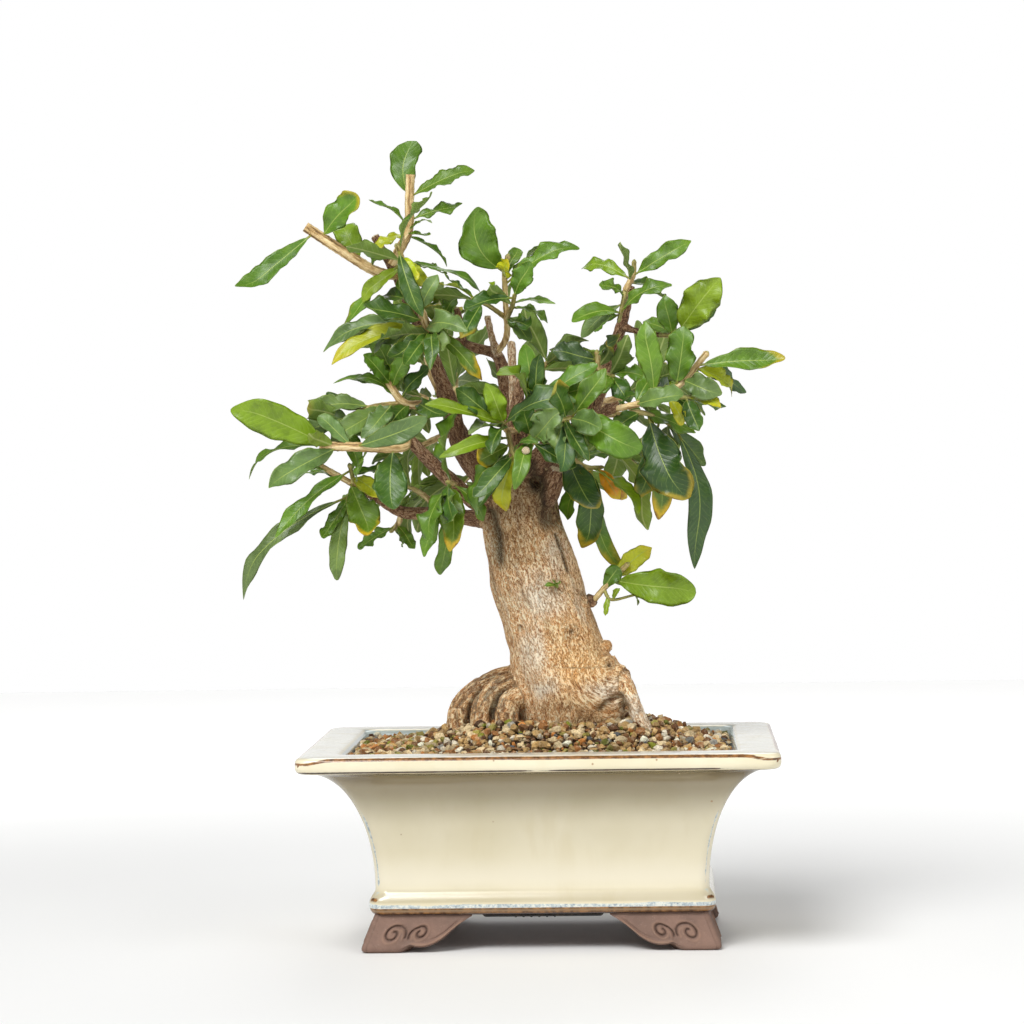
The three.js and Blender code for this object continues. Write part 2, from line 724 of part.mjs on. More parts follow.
function makePot() {
  const outer = [
    [baseZ, baseInset],
    [baseZ + 2, baseInset - 2.2],
    [baseZ + 8, baseInset - 2.6],
    [baseZ + 11, baseInset - 0.6],
    [flareStart - 2, flare(flareStart)],
    ...[0.26, 0.5, 0.71, 0.87, 0.96].map((s) => {
      const z = flareStart + s * (rimTop - rimDrop - 2 - flareStart);
      return [z, flare(z)];
    }),
    [rimTop - rimDrop - 2, 5.5],
    [rimTop - rimDrop, 1.2],
    [rimTop - rimDrop + 2, 0],
    [rimTop - 2, 0],
    [rimTop, 1.6],
    [rimTop, rimFlat],
  ];
  const rings = [
    ...outer.map(([z, inset]) => outline(inset, z)),
    ...innerWall.toReversed().map(([z, inset]) => outline(inset, z, cornerRadius - 1)),
  ];
  let pot = solidOf(loft(rings));
  for (const side of [-1, 1]) {
    pot = pot.subtract(upright(drainRadius, 12, side * drainX, 0, baseZ - 1, floorZ + 1));
    pot = pot.subtract(upright(wireRadius + 1, 6, side * wireX, wireY, baseZ - 1, floorZ + 1));
  }
  return pot;
}

// An upright cylinder from one height to another.
function upright(radius, sides, x, y, low, high) {
  const geometry = new THREE.CylinderGeometry(radius, radius, high - low, sides);
  geometry.rotateX(Math.PI / 2).translate(x, y, (low + high) / 2);
  return solidOf(geometry);
}

function block(x0, x1, y0, y1, z0, z1) {
  const geometry = new THREE.BoxGeometry(x1 - x0, y1 - y0, z1 - z0);
  return solidOf(geometry.translate((x0 + x1) / 2, (y0 + y1) / 2, (z0 + z1) / 2));
}

// One corner foot: two plates with a cloud outline that meet at the corner and splay outwards, each with
// two round scroll bosses on its face.
const footOutline = [
  [0, 0], [22.5, 0], [27, 2.6], [29.5, 4.7], [34.5, 3.5], [39.5, 3.6], [44, 5], [48.5, 8.2],
  [52, 12.4], [55.5, 16.4], [59, 19.4], [62.5, 22.2], [62.5, baseZ], [0, baseZ],
];
const footScrolls = [[17, 11, 6.3], [36.5, 11.8, 5.2]];

function makeFoot(sx, sy) {
  const corner = rimHalf.map((half) => half - baseInset - footInset);
  const plates = [[1, 0], [footLengthY, 1]].map(([scale, sideways]) => {
    const shape = new THREE.Shape(footOutline.map(([u, v]) => new THREE.Vector2(u * scale, v)));
    const plate = solidOf(new THREE.ExtrudeGeometry(shape, { depth: footThick, bevelEnabled: false }));
    const bosses = footScrolls.map(([u, v, r]) => {
      const boss = new THREE.CylinderGeometry(r * scale, r * scale - 1.2, 3.4, 7);
      return solidOf(boss.rotateX(Math.PI / 2).translate(u * scale, v, 0.3));
    });
    return [joined([plate, ...bosses]), sideways];
  });
  // u runs in from the corner, v is the height and w the depth behind the face.
  const turned = plates.map(([solid, sideways]) => {
    const geometry = geometryOf(solid);
    const p = geometry.attributes.position;
    for (let i = 0; i < p.count; i++) {
      const [u, v, w] = [p.getX(i), p.getY(i), p.getZ(i)];
      const [inX, inY] = sideways ? [w, u] : [u, w];
      const splay = (baseZ - v) * footSplay;
      p.setXYZ(i, sx * (corner[0] + splay - inX), sy * (corner[1] + splay - inY), v);
    }
    if (sx * sy * (sideways ? -1 : 1) > 0) reverse(geometry);
    return solidOf(geometry);
  });
  return turned[0].add(turned[1]);
}

function reverse(geometry) {
  const index = geometry.index.array;
  for (let i = 0; i < index.length; i += 3) [index[i + 1], index[i + 2]] = [index[i + 2], index[i + 1]];
}

// The trunk: level rings with shallow flutes that deepen towards the roots.
function makeTrunk(grow = 0) {
  const sides = 14;
  const rings = trunkRings.map(([x, y, z, halfX, halfY]) =>
    Array.from({ length: sides }, (_, k) => {
      const turn = (2 * Math.PI * k) / sides;
      const depth = 0.025 + 0.05 * Math.max(0, (170 - z) / 60);
      const swell = 1 + depth * Math.sin(5 * turn + z * 0.03) + 0.02 * Math.sin(3 * turn + z * 0.11);
      return new THREE.Vector3(
        x + (halfX * swell + grow) * Math.cos(turn),
        y + (halfY * swell + grow) * Math.sin(turn),
        z,
      );
    }),
  );
  rings[0].forEach((p) => (p.z -= grow));
  return solidOf(loft(rings));
}

const rooted = (grow) => joined([
  makeTrunk(grow),
  ...Object.values(roots).map((line) => tube(line, 6, grow)),
]);

function knob([x, y, z], [a, b, c], detail) {
  const geometry = new THREE.IcosahedronGeometry(1, detail).scale(a, b, c);
  return solidOf(geometry.translate(x, y, z));
}

// The point on the middle line of the old branches that lies nearest.
function inWood(point) {
  let best = null;
  for (const line of Object.values(branches)) {
    for (let i = 0; i + 1 < line.length; i++) {
      const ends = [line[i], line[i + 1]].map(([x, y, z]) => new THREE.Vector3(x, y, z));
      const near = new THREE.Line3(...ends).closestPointToPoint(point, true, new THREE.Vector3());
      if (!best || near.distanceTo(point) < best.distanceTo(point)) best = near;
    }
  }
  return best;
}

function makeWood() {
  return joined([
    rooted(0),
    knob(burl.at, burl.size, 1),
    knob(burl.stubAt, burl.stubSize, 0),
    branchWork(0),
  ]);
}

const branchWork = (grow) => joined(
  Object.values(branches).map((line) => tube(line, sidesFor(line[0][3]), grow)),
);

// Height of the grit: level near the rim and heaped round the trunk.
function soilHeight(x, y) {
  const far = Math.hypot((x - soilMiddle[0]) / soilReach[0], (y - soilMiddle[1]) / soilReach[1]);
  const heap = 1 - THREE.MathUtils.smoothstep(far, ...soilShares);
  return soilEdge + soilMound * heap - 0.015 * Math.max(0, y);
}

function makeSoil() {
  const parts = [6, 5];
  const radius = cornerRadius - 1;
  const rings = innerWall.slice(0, -1).map(([z, inset]) => outline(inset + 2 * gap, z, radius, parts));
  rings.push(outline(rimFlat + 3.8, soilEdge - 4, radius, parts));
  const levels = 5;
  const top = outline(rimFlat + 3.5, soilEdge, radius, parts);
  for (let k = 0; k < levels; k++) {
    const shrink = 1 - (k / levels) * 0.92;
    rings.push(top.map((p, j) => {
      const x = p.x * shrink + (k ? (chance(k, j, 1) - 0.5) * 4 : 0);
      const y = p.y * shrink + (k ? (chance(k, j, 2) - 0.5) * 4 : 0);
      return new THREE.Vector3(x, y, soilHeight(x, y) + (chance(k, j, 3) - 0.5) * grit);
    }));
  }
  let soil = solidOf(loft(rings));
  soil = soil.subtract(rooted(gap));
  for (const side of [-1, 1]) {
    const half = meshSide / 2 + gap;
    const x = side * drainX;
    soil = soil.subtract(block(x - half, x + half, -half, half, floorZ - 1, floorZ + meshThick + gap));
  }
  return soil.subtract(makeWire(gap));
}

// A drainage mesh: a square plate with a grid of square holes.
function makeMesh(side) {
  const half = meshSide / 2;
  const x = side * drainX;
  let mesh = block(x - half, x + half, -half, half, floorZ, floorZ + meshThick);
  for (const i of [-0.5, 0.5]) {
    for (const j of [-0.5, 0.5]) {
      const [cx, cy] = [x + i * (meshCell + meshRib), j * (meshCell + meshRib)];
      const h = meshCell / 2;
      mesh = mesh.subtract(block(cx - h, cx + h, cy - h, cy + h, floorZ - 1, floorZ + meshThick + 1));
    }
  }
  return mesh;
}

// The tie wire: up through the floor at both ends, and straight under the base between them.
function makeWire(grow = 0) {
  const low = baseZ - wireRadius - gap - wireHang;
  const bend = 1.2;
  const half = [
    [wireX - 8, wireY, wireTop + 4],
    [wireX - 2, wireY, wireTop],
    [wireX, wireY, wireTop - 6],
    [wireX, wireY, low + bend],
    [wireX - bend, wireY, low],
  ];
  const other = half.toReversed().map(([x, y, z]) => [-x, y, z]);
  return tube([...half, ...other].map((p) => [...p, wireRadius]), 5, grow);
}

// The way, face and side of a blade from its base to its tip. The face turns from looking up, at 0 degrees,
// to looking along the hint, at 90.
function bladeFrame(base, tip, turn, hint) {
  const along = tip.clone().sub(base);
  const length = along.length();
  along.divideScalar(length);
  const angle = THREE.MathUtils.degToRad(turn);
  const face = zAxis.clone().multiplyScalar(Math.cos(angle)).addScaledVector(hint, Math.sin(angle));
  face.addScaledVector(along, -face.dot(along)).normalize();
  return { base, tip, length, along, face, side: along.clone().cross(face) };
}

// The habit of one leaf, drawn from its counters: bend, twist, waves, fold, sway and how full its ends are.
function bladeHabit(shoot, leaf) {
  const draw = (k) => chance(shoot + 1, leaf + 1, k);
  return {
    bend: 0.03 + 0.13 * draw(1),
    twist: (draw(2) - 0.5) * 0.9,
    wave: 0.12 + 0.24 * draw(3),
    waves: 1.5 + 1.3 * draw(4),
    phase: 2 * Math.PI * draw(5),
    fold: 0.1 + 0.35 * draw(6),
    sway: (draw(7) - 0.5) * 0.08,
    a: 0.6 + 0.35 * draw(8),
    b: 0.38 + 0.3 * draw(9),
  };
}

// A point of the blade: t runs from base to tip and s from edge to edge. The midrib bows up, the edges are
// lifted by the fold and waved, and the whole blade turns about its midrib towards the tip.
function bladePoint(leaf, t, s, lift = 0) {
  const { habit, length } = leaf;
  const u = Math.max(0, (t - leaf.stalk) / (1 - leaf.stalk));
  const peak = (habit.a + habit.b) ** (habit.a + habit.b) / (habit.a ** habit.a * habit.b ** habit.b);
  const half = stalkHalf + (leaf.width / 2 - stalkHalf) * peak * u ** habit.a * (1 - u) ** habit.b;
  const turn = habit.twist * u;
  const side = leaf.side.clone().multiplyScalar(Math.cos(turn)).addScaledVector(leaf.face, Math.sin(turn));
  const face = leaf.face.clone().multiplyScalar(Math.cos(turn)).addScaledVector(leaf.side, -Math.sin(turn));
  const ripple = Math.sin(2 * Math.PI * habit.waves * u + habit.phase + (s > 0 ? 1.9 : 0));
  const edge = s * s * half * (habit.fold + habit.wave * ripple);
  const bow = Math.sin(Math.PI * t) * length;
  return leaf.base.clone()
    .addScaledVector(leaf.along, length * t)
    .addScaledVector(leaf.face, bow * habit.bend)
    .addScaledVector(leaf.side, bow * habit.sway)
    .addScaledVector(side, s * half)
    .addScaledVector(face, edge + lift);
}

const stations = [[0.35, 0.78], [0.24, 0.55, 0.84], [0.16, 0.4, 0.64, 0.87]];
const stationsFor = (length) => stations[length < 36 ? 0 : length < 60 ? 1 : 2];

// The leaf's solid: rings of four points, edge, upper rib, edge and lower rib. A bare blade leaves out the
// stalk.
function bladeSolid(leaf, thick, bare = false) {
  const rings = stationsFor(leaf.length).slice(bare ? 1 : 0).map((u) => {
    const t = leaf.stalk + u * (1 - leaf.stalk);
    return [
      bladePoint(leaf, t, -1),
      bladePoint(leaf, t, 0, thick / 2),
      bladePoint(leaf, t, 1),
      bladePoint(leaf, t, 0, -thick / 2),
    ];
  });
  return solidOf(loft(rings, { first: bare ? null : leaf.base, last: leaf.tip, flip: 2 }));
}

const stemPoints = (stem) => stem.map(([x, y, z]) => new THREE.Vector3(x, y, z));

// The point and the way at one place, from 0 to 1, along a stem.
function onStem(stem, place) {
  const points = stemPoints(stem);
  const step = Math.min(points.length - 1.1, place * (points.length - 1));
  const i = Math.floor(step);
  const way = points[i + 1].clone().sub(points[i]);
  return { point: points[i].clone().addScaledVector(way, step - i), way: way.normalize() };
}

// A placed leaf: later tries move its tip a little nearer or farther, so it hangs clear.
function placedLeaf(shoot, index, attempt) {
  const [stem, place, x, y, z, width, turn, sway] = shoot.leaves[index];
  const { point } = onStem(shoot.stems[stem], place);
  const shift = 7 * Math.ceil(attempt / 2) * (attempt % 2 ? -1 : 1);
  const tip = new THREE.Vector3(x, y + shift, z);
  const leaf = bladeFrame(point, tip, turn, towardsFront);
  const habit = bladeHabit(shoot.number, index);
  habit.sway = sway ?? habit.sway;
  return { ...leaf, width, stalk: placedStalk, habit };
}

// A filling leaf: leaves follow each other round the stem by the golden angle, and droop a little.
function fillingLeaf(shoot, index, attempt) {
  const draw = (k) => chance(shoot.number + 41, index + 1, k);
  const stem = shoot.stems[index % shoot.stems.length];
  const { point, way } = onStem(stem, 0.1 + (0.9 * (index + 0.5)) / shoot.fill);
  const across = way.clone().cross(askew).normalize();
  const second = way.clone().cross(across);
  const spin = 2.4 * index + 2 * Math.PI * draw(1) + 0.8 * attempt;
  const tilt = 0.55 + 0.8 * draw(2);
  const along = way.multiplyScalar(Math.cos(tilt))
    .addScaledVector(across, Math.sin(tilt) * Math.cos(spin))
    .addScaledVector(second, Math.sin(tilt) * Math.sin(spin));
  along.z -= 0.25 * draw(3);
  const length = (27 + 25 * draw(4)) * 0.95 ** attempt;
  const tip = point.clone().addScaledVector(along.normalize(), length);
  const outwards = new THREE.Vector3(point.x, point.y, 0).normalize();
  const leaf = bladeFrame(point, tip, 20 + 50 * draw(5), outwards);
  const habit = bladeHabit(shoot.number, index + 50);
  return { ...leaf, width: length * (0.27 + 0.12 * draw(6)), stalk: fillingStalk, habit };
}

// Every leaf of the crown in turn takes the first try that stays clear of the wood and of other shoots, and
// if it can also of its own neighbours. One that fits nowhere is left out.
function growLeaves(wood) {
  const placed = [];
  const meets = (a, b) => !a.intersect(b).isEmpty();
  const boxes = (a, b) => a.min.every((v, i) => v <= b.max[i]) && b.min.every((v, i) => v <= a.max[i]);
  const add = (solid, owner) => placed.push({ solid, owner, box: solid.boundingBox() });
  add(wood, -1);
  for (const shoot of shoots) shoot.stemSolids.forEach((stem) => add(stem, shoot.number));
  const clear = (solid, test) => {
    const box = solid.boundingBox();
    return !placed.some((other) => test(other) && boxes(box, other.box) && meets(solid, other.solid));
  };
  for (const shoot of shoots) {
    const total = shoot.leaves.length + shoot.fill;
    for (let index = 0; index < total; index++) {
      const make = index < shoot.leaves.length
        ? (attempt) => placedLeaf(shoot, index, attempt)
        : (attempt) => fillingLeaf(shoot, index - shoot.leaves.length, attempt);
      let chosen = null;
      for (let attempt = 0; attempt < attempts; attempt++) {
        const leaf = make(attempt);
        if (!clear(bladeSolid(leaf, leafThick + 2 * gap), (other) => other.owner !== shoot.number)) continue;
        chosen ??= leaf;
        const own = (other) => other.owner === shoot.number;
        if (!clear(bladeSolid(leaf, leafThick, true), own)) continue;
        chosen = leaf;
        break;
      }
      if (!chosen) continue;
      const solid = bladeSolid(chosen, leafThick);
      add(solid, shoot.number);
      shoot.leafSolids.push(solid);
    }
  }
}

const glaze = { color: 0xede5c9, roughness: 0.25, metalness: 0 };
const clay = { color: 0x7a5a50, roughness: 0.8, metalness: 0 };
const bark = { color: 0xa08464, roughness: 0.9, metalness: 0 };
const gravel = { color: 0x9a7f5e, roughness: 1, metalness: 0 };
const plastic = { color: 0x1b1b1b, roughness: 0.6, metalness: 0 };
const leafGreen = { color: 0x3f6b2a, roughness: 0.4, metalness: 0 };

const bonsai = new THREE.Group();
bonsai.position.set(potPlace[0], potPlace[1], 0);

function put(name, solid, finish) {
  const mesh = new THREE.Mesh(geometryOf(solid), new THREE.MeshStandardMaterial(finish));
  mesh.name = name;
  bonsai.add(mesh);
}

const wood = makeWood();
const around = branchWork(gap);
shoots.forEach((shoot, number) => {
  shoot.number = number;
  const [main, ...rest] = shoot.stems;
  const lines = [[[...inWood(new THREE.Vector3(...shoot.foot)).toArray(), main[0][3]], ...main], ...rest];
  shoot.stemSolids = lines.map((line) => tube(line, sidesFor(line[0][3])));
  shoot.leafSolids = [];
});
growLeaves(wood);

put('pot', makePot(), glaze);
for (const [depth, sy] of [['front', -1], ['rear', 1]]) {
  for (const [side, sx] of [['left', -1], ['right', 1]]) put(`foot_${depth}_${side}`, makeFoot(sx, sy), clay);
}
put('drainage_mesh_left', makeMesh(-1), plastic);
put('drainage_mesh_right', makeMesh(1), plastic);
put('tie_wire', makeWire(), plastic);
put('soil', makeSoil(), gravel);
put('wood', wood, bark);
for (const shoot of shoots) {
  put(`shoot_${shoot.name}`, joined([...shoot.stemSolids, ...shoot.leafSolids]).subtract(around), leafGreen);
}

export default bonsai;
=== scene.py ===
# A pomegranate bonsai in its glazed pot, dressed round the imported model.
import math
import bpy
import numpy as np
from mathutils import Matrix, Vector


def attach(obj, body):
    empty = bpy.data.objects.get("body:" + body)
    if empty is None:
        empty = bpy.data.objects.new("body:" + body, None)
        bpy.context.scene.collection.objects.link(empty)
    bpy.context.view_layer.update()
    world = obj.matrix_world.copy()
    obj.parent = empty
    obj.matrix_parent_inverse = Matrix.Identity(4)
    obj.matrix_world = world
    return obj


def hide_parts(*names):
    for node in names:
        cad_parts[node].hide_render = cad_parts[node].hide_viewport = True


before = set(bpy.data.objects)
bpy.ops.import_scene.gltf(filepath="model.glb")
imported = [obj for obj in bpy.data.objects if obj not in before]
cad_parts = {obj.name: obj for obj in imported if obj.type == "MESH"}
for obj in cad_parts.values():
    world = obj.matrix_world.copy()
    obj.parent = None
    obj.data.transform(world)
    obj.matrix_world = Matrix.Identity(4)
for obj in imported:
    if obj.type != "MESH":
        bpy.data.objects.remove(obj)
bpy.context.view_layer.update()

# Shapes are given in millimetres from the middle of the pot, on the surface that it stands on.
potMiddle = np.array([20.0, -16.0, 0.0])
metre = 0.001
askew = np.array([0.3, -0.5, 0.81])  # a way that no branch follows, to start the turn of a tube's rings from


# what every piece below is made with
def unit(v):  # each row divided by its own length
    return v / np.maximum(np.linalg.norm(v, axis=-1, keepdims=True), 1e-12)


def chance(a, b, c):  # the part after the point of a large multiple of a sine: 0 to 1, the same each run
    v = np.sin(a * 12.9898 + b * 78.233 + c * 37.719) * 43758.5453
    return v - np.floor(v)


def ease(v, low, high):  # 0 below low, 1 above high, and a smooth step between them
    t = np.clip((v - low) / (high - low), 0, 1)
    return t * t * (3 - 2 * t)


def window(v, a, b, c, d):  # up from a to b by a smooth step, and down again from c to d
    return ease(v, a, b) * (1 - ease(v, c, d))


def bell(v, width):  # 1 at 0, and falling away on either side
    return np.exp(-(v / width) ** 2)


def turns(count):  # even angles once round
    return 2 * np.pi * np.arange(count) / count


def spans(rows):  # the length of each row
    return np.linalg.norm(rows, axis=-1)


def runAlong(points):  # how far along a bent line each of its points lies
    return np.append(0, np.cumsum(spans(np.diff(points, axis=0))))


def together(*values):  # the values as the last axis of one array
    return np.stack(np.broadcast_arrays(*values), axis=-1)


def noise(points, size, seed=0):
    # value noise from -1 to 1: a hashed number at each corner of a lattice, eased between the corners
    p = np.asarray(points, float) / size
    cell = np.floor(p).astype(np.int64)
    f = p - cell
    f = f * f * (3 - 2 * f)
    total = np.zeros(len(p))
    for corner in range(8):
        step = np.array([corner & 1, corner >> 1 & 1, corner >> 2])
        n = (cell + step) @ np.array([73856093, 19349663, 83492791]) + seed * 1013904223
        n = ((n ^ (n >> 13)) & 0x7fffffff) * 1274126177 & 0x7fffffff
        n = (n ^ (n >> 16)) * 73244475 & 0x7fffffff
        total += np.prod(np.where(step, f, 1 - f), axis=1) * (n / 0x3fffffff - 1)
    return total


def clouds(points, size, octaves=3, seed=0):  # noise, plus the same at half the size and height, and so on
    return sum(noise(points, size / 2 ** k, seed + k) / 2 ** k for k in range(octaves))


def curveThrough(rows, step):
    # a smooth line through the rows by Catmull-Rom cubics, points about a step apart; a radius comes along
    rows = np.asarray(rows, float)
    lengths = spans(np.diff(rows[:, :3], axis=0))
    counts = np.maximum(1, np.round(lengths / step)).astype(int)
    part = np.repeat(np.arange(len(counts)), counts)
    t = (np.arange(counts.sum()) - (np.cumsum(counts) - counts)[part]) / counts[part]
    part, t = np.append(part, len(counts) - 1), np.append(t, 1.0)[:, None]
    padded = np.vstack([2 * rows[0] - rows[1], rows, 2 * rows[-1] - rows[-2]])
    a, b, c, d = (padded[part + k] for k in range(4))
    square = (a - 2.5 * b + 2 * c - d / 2) * t ** 2
    return b + (c - a) * t / 2 + square + (1.5 * b - a / 2 - 1.5 * c + d / 2) * t ** 3


def gridFaces(rows, columns, closed=True):  # quads between neighbouring rows; closed joins last column to first
    i, j = np.meshgrid(np.arange(rows - 1), np.arange(columns - (not closed)), indexing="ij")
    k = (j + 1) % columns
    corners = [i * columns + j, i * columns + k, (i + 1) * columns + k, (i + 1) * columns + j]
    return np.stack(corners, axis=-1).reshape(-1, 4)


def ringSkin(rings):
    # a closed skin over an array of rings (rows, columns, 3) that turn right-handed about the way they follow
    rows, columns = rings.shape[:2]
    first = np.arange(columns)[::-1][None]
    last = (rows - 1) * columns + np.arange(columns)[None]
    return rings.reshape(-1, 3), [gridFaces(rows, columns), first, last]


def tube(line, sides):
    # circles square to the line: across is the way crossed with the askew direction, second is square to both
    path, radius = line[:, :3], line[:, 3]
    way = unit(np.gradient(path, axis=0))
    across = unit(np.cross(way, askew))
    second = np.cross(way, across)
    turn = turns(sides)
    ring = across[:, None] * np.cos(turn)[None, :, None] + second[:, None] * np.sin(turn)[None, :, None]
    return ringSkin(path[:, None] + ring * radius[:, None, None])


def gather(parts):
    # several surfaces as one: each one's corner numbers are moved up past the points before it
    points, groups, offset = [], {}, 0
    for some, faces in parts:
        for rows in (faces if isinstance(faces, list) else [faces]):
            groups.setdefault(rows.shape[1], []).append(rows + offset)
        points.append(some)
        offset += len(some)
    return np.concatenate(points), [np.concatenate(rows) for rows in groups.values()]


def meshFrom(name, points, faces, smooth=True):
    # points in millimetres from the middle of the pot become metres in the part's own frame
    groups = faces if isinstance(faces, list) else [faces]
    sizes = np.concatenate([np.full(len(rows), rows.shape[1]) for rows in groups])
    corners = np.concatenate([rows.ravel() for rows in groups]).astype(np.int32)
    mesh = bpy.data.meshes.new(name)
    mesh.vertices.add(len(points))
    mesh.vertices.foreach_set("co", ((points + potMiddle) * metre).astype(np.float32).ravel())
    mesh.loops.add(len(corners))
    mesh.loops.foreach_set("vertex_index", corners)
    mesh.polygons.add(len(sizes))
    mesh.polygons.foreach_set("loop_start", (np.cumsum(sizes) - sizes).astype(np.int32))
    mesh.polygons.foreach_set("use_smooth", np.full(len(sizes), smooth))
    mesh.update(calc_edges=True)
    return mesh


def pointsOf(mesh):  # the mesh's points again, in millimetres from the middle of the pot
    flat = np.empty(len(mesh.vertices) * 3, dtype=np.float32)
    mesh.vertices.foreach_get("co", flat)
    return flat.reshape(-1, 3).astype(float) / metre - potMiddle


def mark(mesh, **marks):  # under each name, one number or a vector for every point
    for name, values in marks.items():
        values = np.asarray(values, dtype=np.float32)
        kind, field = {1: ("FLOAT", "value"), 3: ("FLOAT_VECTOR", "vector")}[values.size // len(mesh.vertices)]
        mesh.attributes.new(name, kind, "POINT").data.foreach_set(field, values.ravel())


def addObject(name, data):
    made = bpy.data.objects.new(name, data)
    bpy.context.scene.collection.objects.link(made)
    return made


def pieceFrom(name, mesh, materials, replaces=()):
    mesh.name = name
    piece = addObject(name, mesh)
    mesh.materials.clear()
    for material in materials:
        mesh.materials.append(material)
    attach(piece, "root")
    if replaces:
        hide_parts(*replaces)


def settled(mesh, kind, **settings):  # the mesh with one modifier worked out and not left live
    holder = addObject("holder", mesh)
    modifier = holder.modifiers.new(kind.lower(), kind)
    for key, value in settings.items():
        setattr(modifier, key, value)
    evaluated = holder.evaluated_get(bpy.context.evaluated_depsgraph_get())
    result = bpy.data.meshes.new_from_object(evaluated)
    bpy.data.objects.remove(holder)
    return result


def paint(colour):  # a colour of 0 to 255 as it looks, in the linear values that shaders take
    v = np.array(colour) / 255
    return tuple(np.where(v > 0.04045, ((v + 0.055) / 1.055) ** 2.4, v / 12.92)) + (1.0,)


def addNode(tree, kind, inputs=None, **settings):  # an input is a number, a colour or another node's output
    made = tree.nodes.new("ShaderNode" + kind)
    for key, value in settings.items():
        setattr(made, key, value)
    for key, value in (inputs or {}).items():
        if isinstance(value, bpy.types.NodeSocket):
            tree.links.new(value, made.inputs[key])
        else:
            made.inputs[key].default_value = value
    return made


class Finish:
    # a material and short ways to add its nodes. A share or value is a number, a node's output or the name of a
    # mark on the mesh; a colour is three numbers of 0 to 255 or a node's output. The body is the colour so far
    def __init__(self, name, **values):
        self.material = bpy.data.materials.new(name)
        self.material.use_nodes = True
        self.tree = self.material.node_tree
        self.shader = self.tree.nodes["Principled BSDF"]
        for key, value in values.items():
            self.shader.inputs[key.replace("_", " ")].default_value = value
        self.place = self.node("TexCoord").outputs["Object"]
        self.body = None

    def node(self, kind, inputs=None, **settings):
        inputs = inputs or {}
        named = {key: self.mark(value) if isinstance(value, str) else value for key, value in inputs.items()}
        return addNode(self.tree, kind, named, **settings)

    def mark(self, name, output="Fac"):
        return self.node("Attribute", attribute_name=name).outputs[output]

    def stretched(self, vector, scale):
        return self.node("Mapping", {"Vector": vector, "Scale": scale}).outputs[0]

    def noise(self, scale, detail=3, rough=0.55, vector=None, bend=0.0):
        inputs = {"Vector": vector or self.place, "Scale": scale, "Detail": detail, "Roughness": rough}
        return self.node("TexNoise", inputs | {"Distortion": bend}).outputs["Fac"]

    def cells(self, scale, output):
        return self.node("TexVoronoi", {"Vector": self.place, "Scale": scale}).outputs[output]

    def maths(self, operation, a, b=0.0, c=0.0):
        return self.node("Math", {0: a, 1: b, 2: c}, operation=operation).outputs[0]

    def times(self, a, b):
        return self.maths("MULTIPLY", a, b)

    def plus(self, a, b):
        return self.maths("ADD", a, b)

    def minus(self, a, b):
        return self.maths("SUBTRACT", a, b)

    def between(self, value, low, high, first=0.0, last=1.0):  # a smooth step from first to last
        inputs = {"Value": value, "From Min": low, "From Max": high, "To Min": first, "To Max": last}
        return self.node("MapRange", inputs, interpolation_type="SMOOTHSTEP").outputs[0]

    def mix(self, share, a, b, blend="MIX"):
        a, b = (paint(colour) if isinstance(colour, tuple) else colour for colour in (a, b))
        return self.node("Mix", {0: share, 6: a, 7: b}, data_type="RGBA", blend_type=blend).outputs[2]

    def over(self, share, colour, blend="MIX"):  # a colour laid over the body
        self.body = self.mix(share, self.body, colour, blend)

    def ramp(self, value, *stops):
        made = self.node("ValToRGB", {"Fac": value})
        elements = made.color_ramp.elements
        while len(elements) < len(stops):
            elements.new(0.5)
        for element, (at, colour) in zip(elements, stops):
            element.position, element.color = at, paint(colour)
        return made.outputs[0]

    def done(self, height, strength, reach, roughness=None):  # a bump from the height, its reach in millimetres
        bump = self.node("Bump", {"Height": height, "Strength": strength, "Distance": reach * metre})
        self.tree.links.new(self.body, self.shader.inputs["Base Color"])
        self.tree.links.new(bump.outputs[0], self.shader.inputs["Normal"])
        if roughness:
            self.tree.links.new(roughness, self.shader.inputs["Roughness"])
        return self.material


view = dict(at=(104.0, -2237.4, 325.5), yaw=-0.046, pitch=-0.022, roll=0.0165, lens=119.65, sensor=36, farthest=50)


def addCamera():
    # forward from yaw and pitch, right level with the floor, then both turned by the roll
    yaw, pitch, roll = view["yaw"], view["pitch"], view["roll"]
    forward = Vector((math.sin(yaw) * math.cos(pitch), math.cos(yaw) * math.cos(pitch), math.sin(pitch)))
    right = Vector((math.cos(yaw), -math.sin(yaw), 0))
    up = right.cross(forward)
    turnedRight = right * math.cos(roll) - up * math.sin(roll)
    turnedUp = up * math.cos(roll) + right * math.sin(roll)
    data = bpy.data.cameras.new("camera")
    data.lens, data.sensor_width, data.clip_end = view["lens"], view["sensor"], view["farthest"]
    camera = addObject("camera", data)
    axes = Matrix((turnedRight, turnedUp, -forward)).transposed().to_4x4()
    camera.matrix_world = Matrix.Translation(Vector(view["at"]) * metre) @ axes
    bpy.context.scene.camera = camera


studio = dict(
    floorHalf=2.2, floorColour=paint((236, 236, 235)), glow=(0.4, 1.3, 0.3), backdrop=1.0, white=(1, 1, 1, 1),
    walls=0.9, ceiling=0.26, wallTop=(0.05, 0.28),  # brightness level with the floor and overhead, and its change
    sun=((-0.5, -0.8, 1.25), 2.1, 30),  # where it stands, its strength and its width in degrees
    aim=(0.02, 0.0, 0.3),  # what the lamps point at; below, where each stands, its width and its watts
    lamps=[((-0.55, -1.25, 1.35), 0.9, 9.0), ((1.0, -0.9, 0.95), 0.7, 5.0), ((0.1, 1.2, 1.4), 1.0, 7.0)],
)


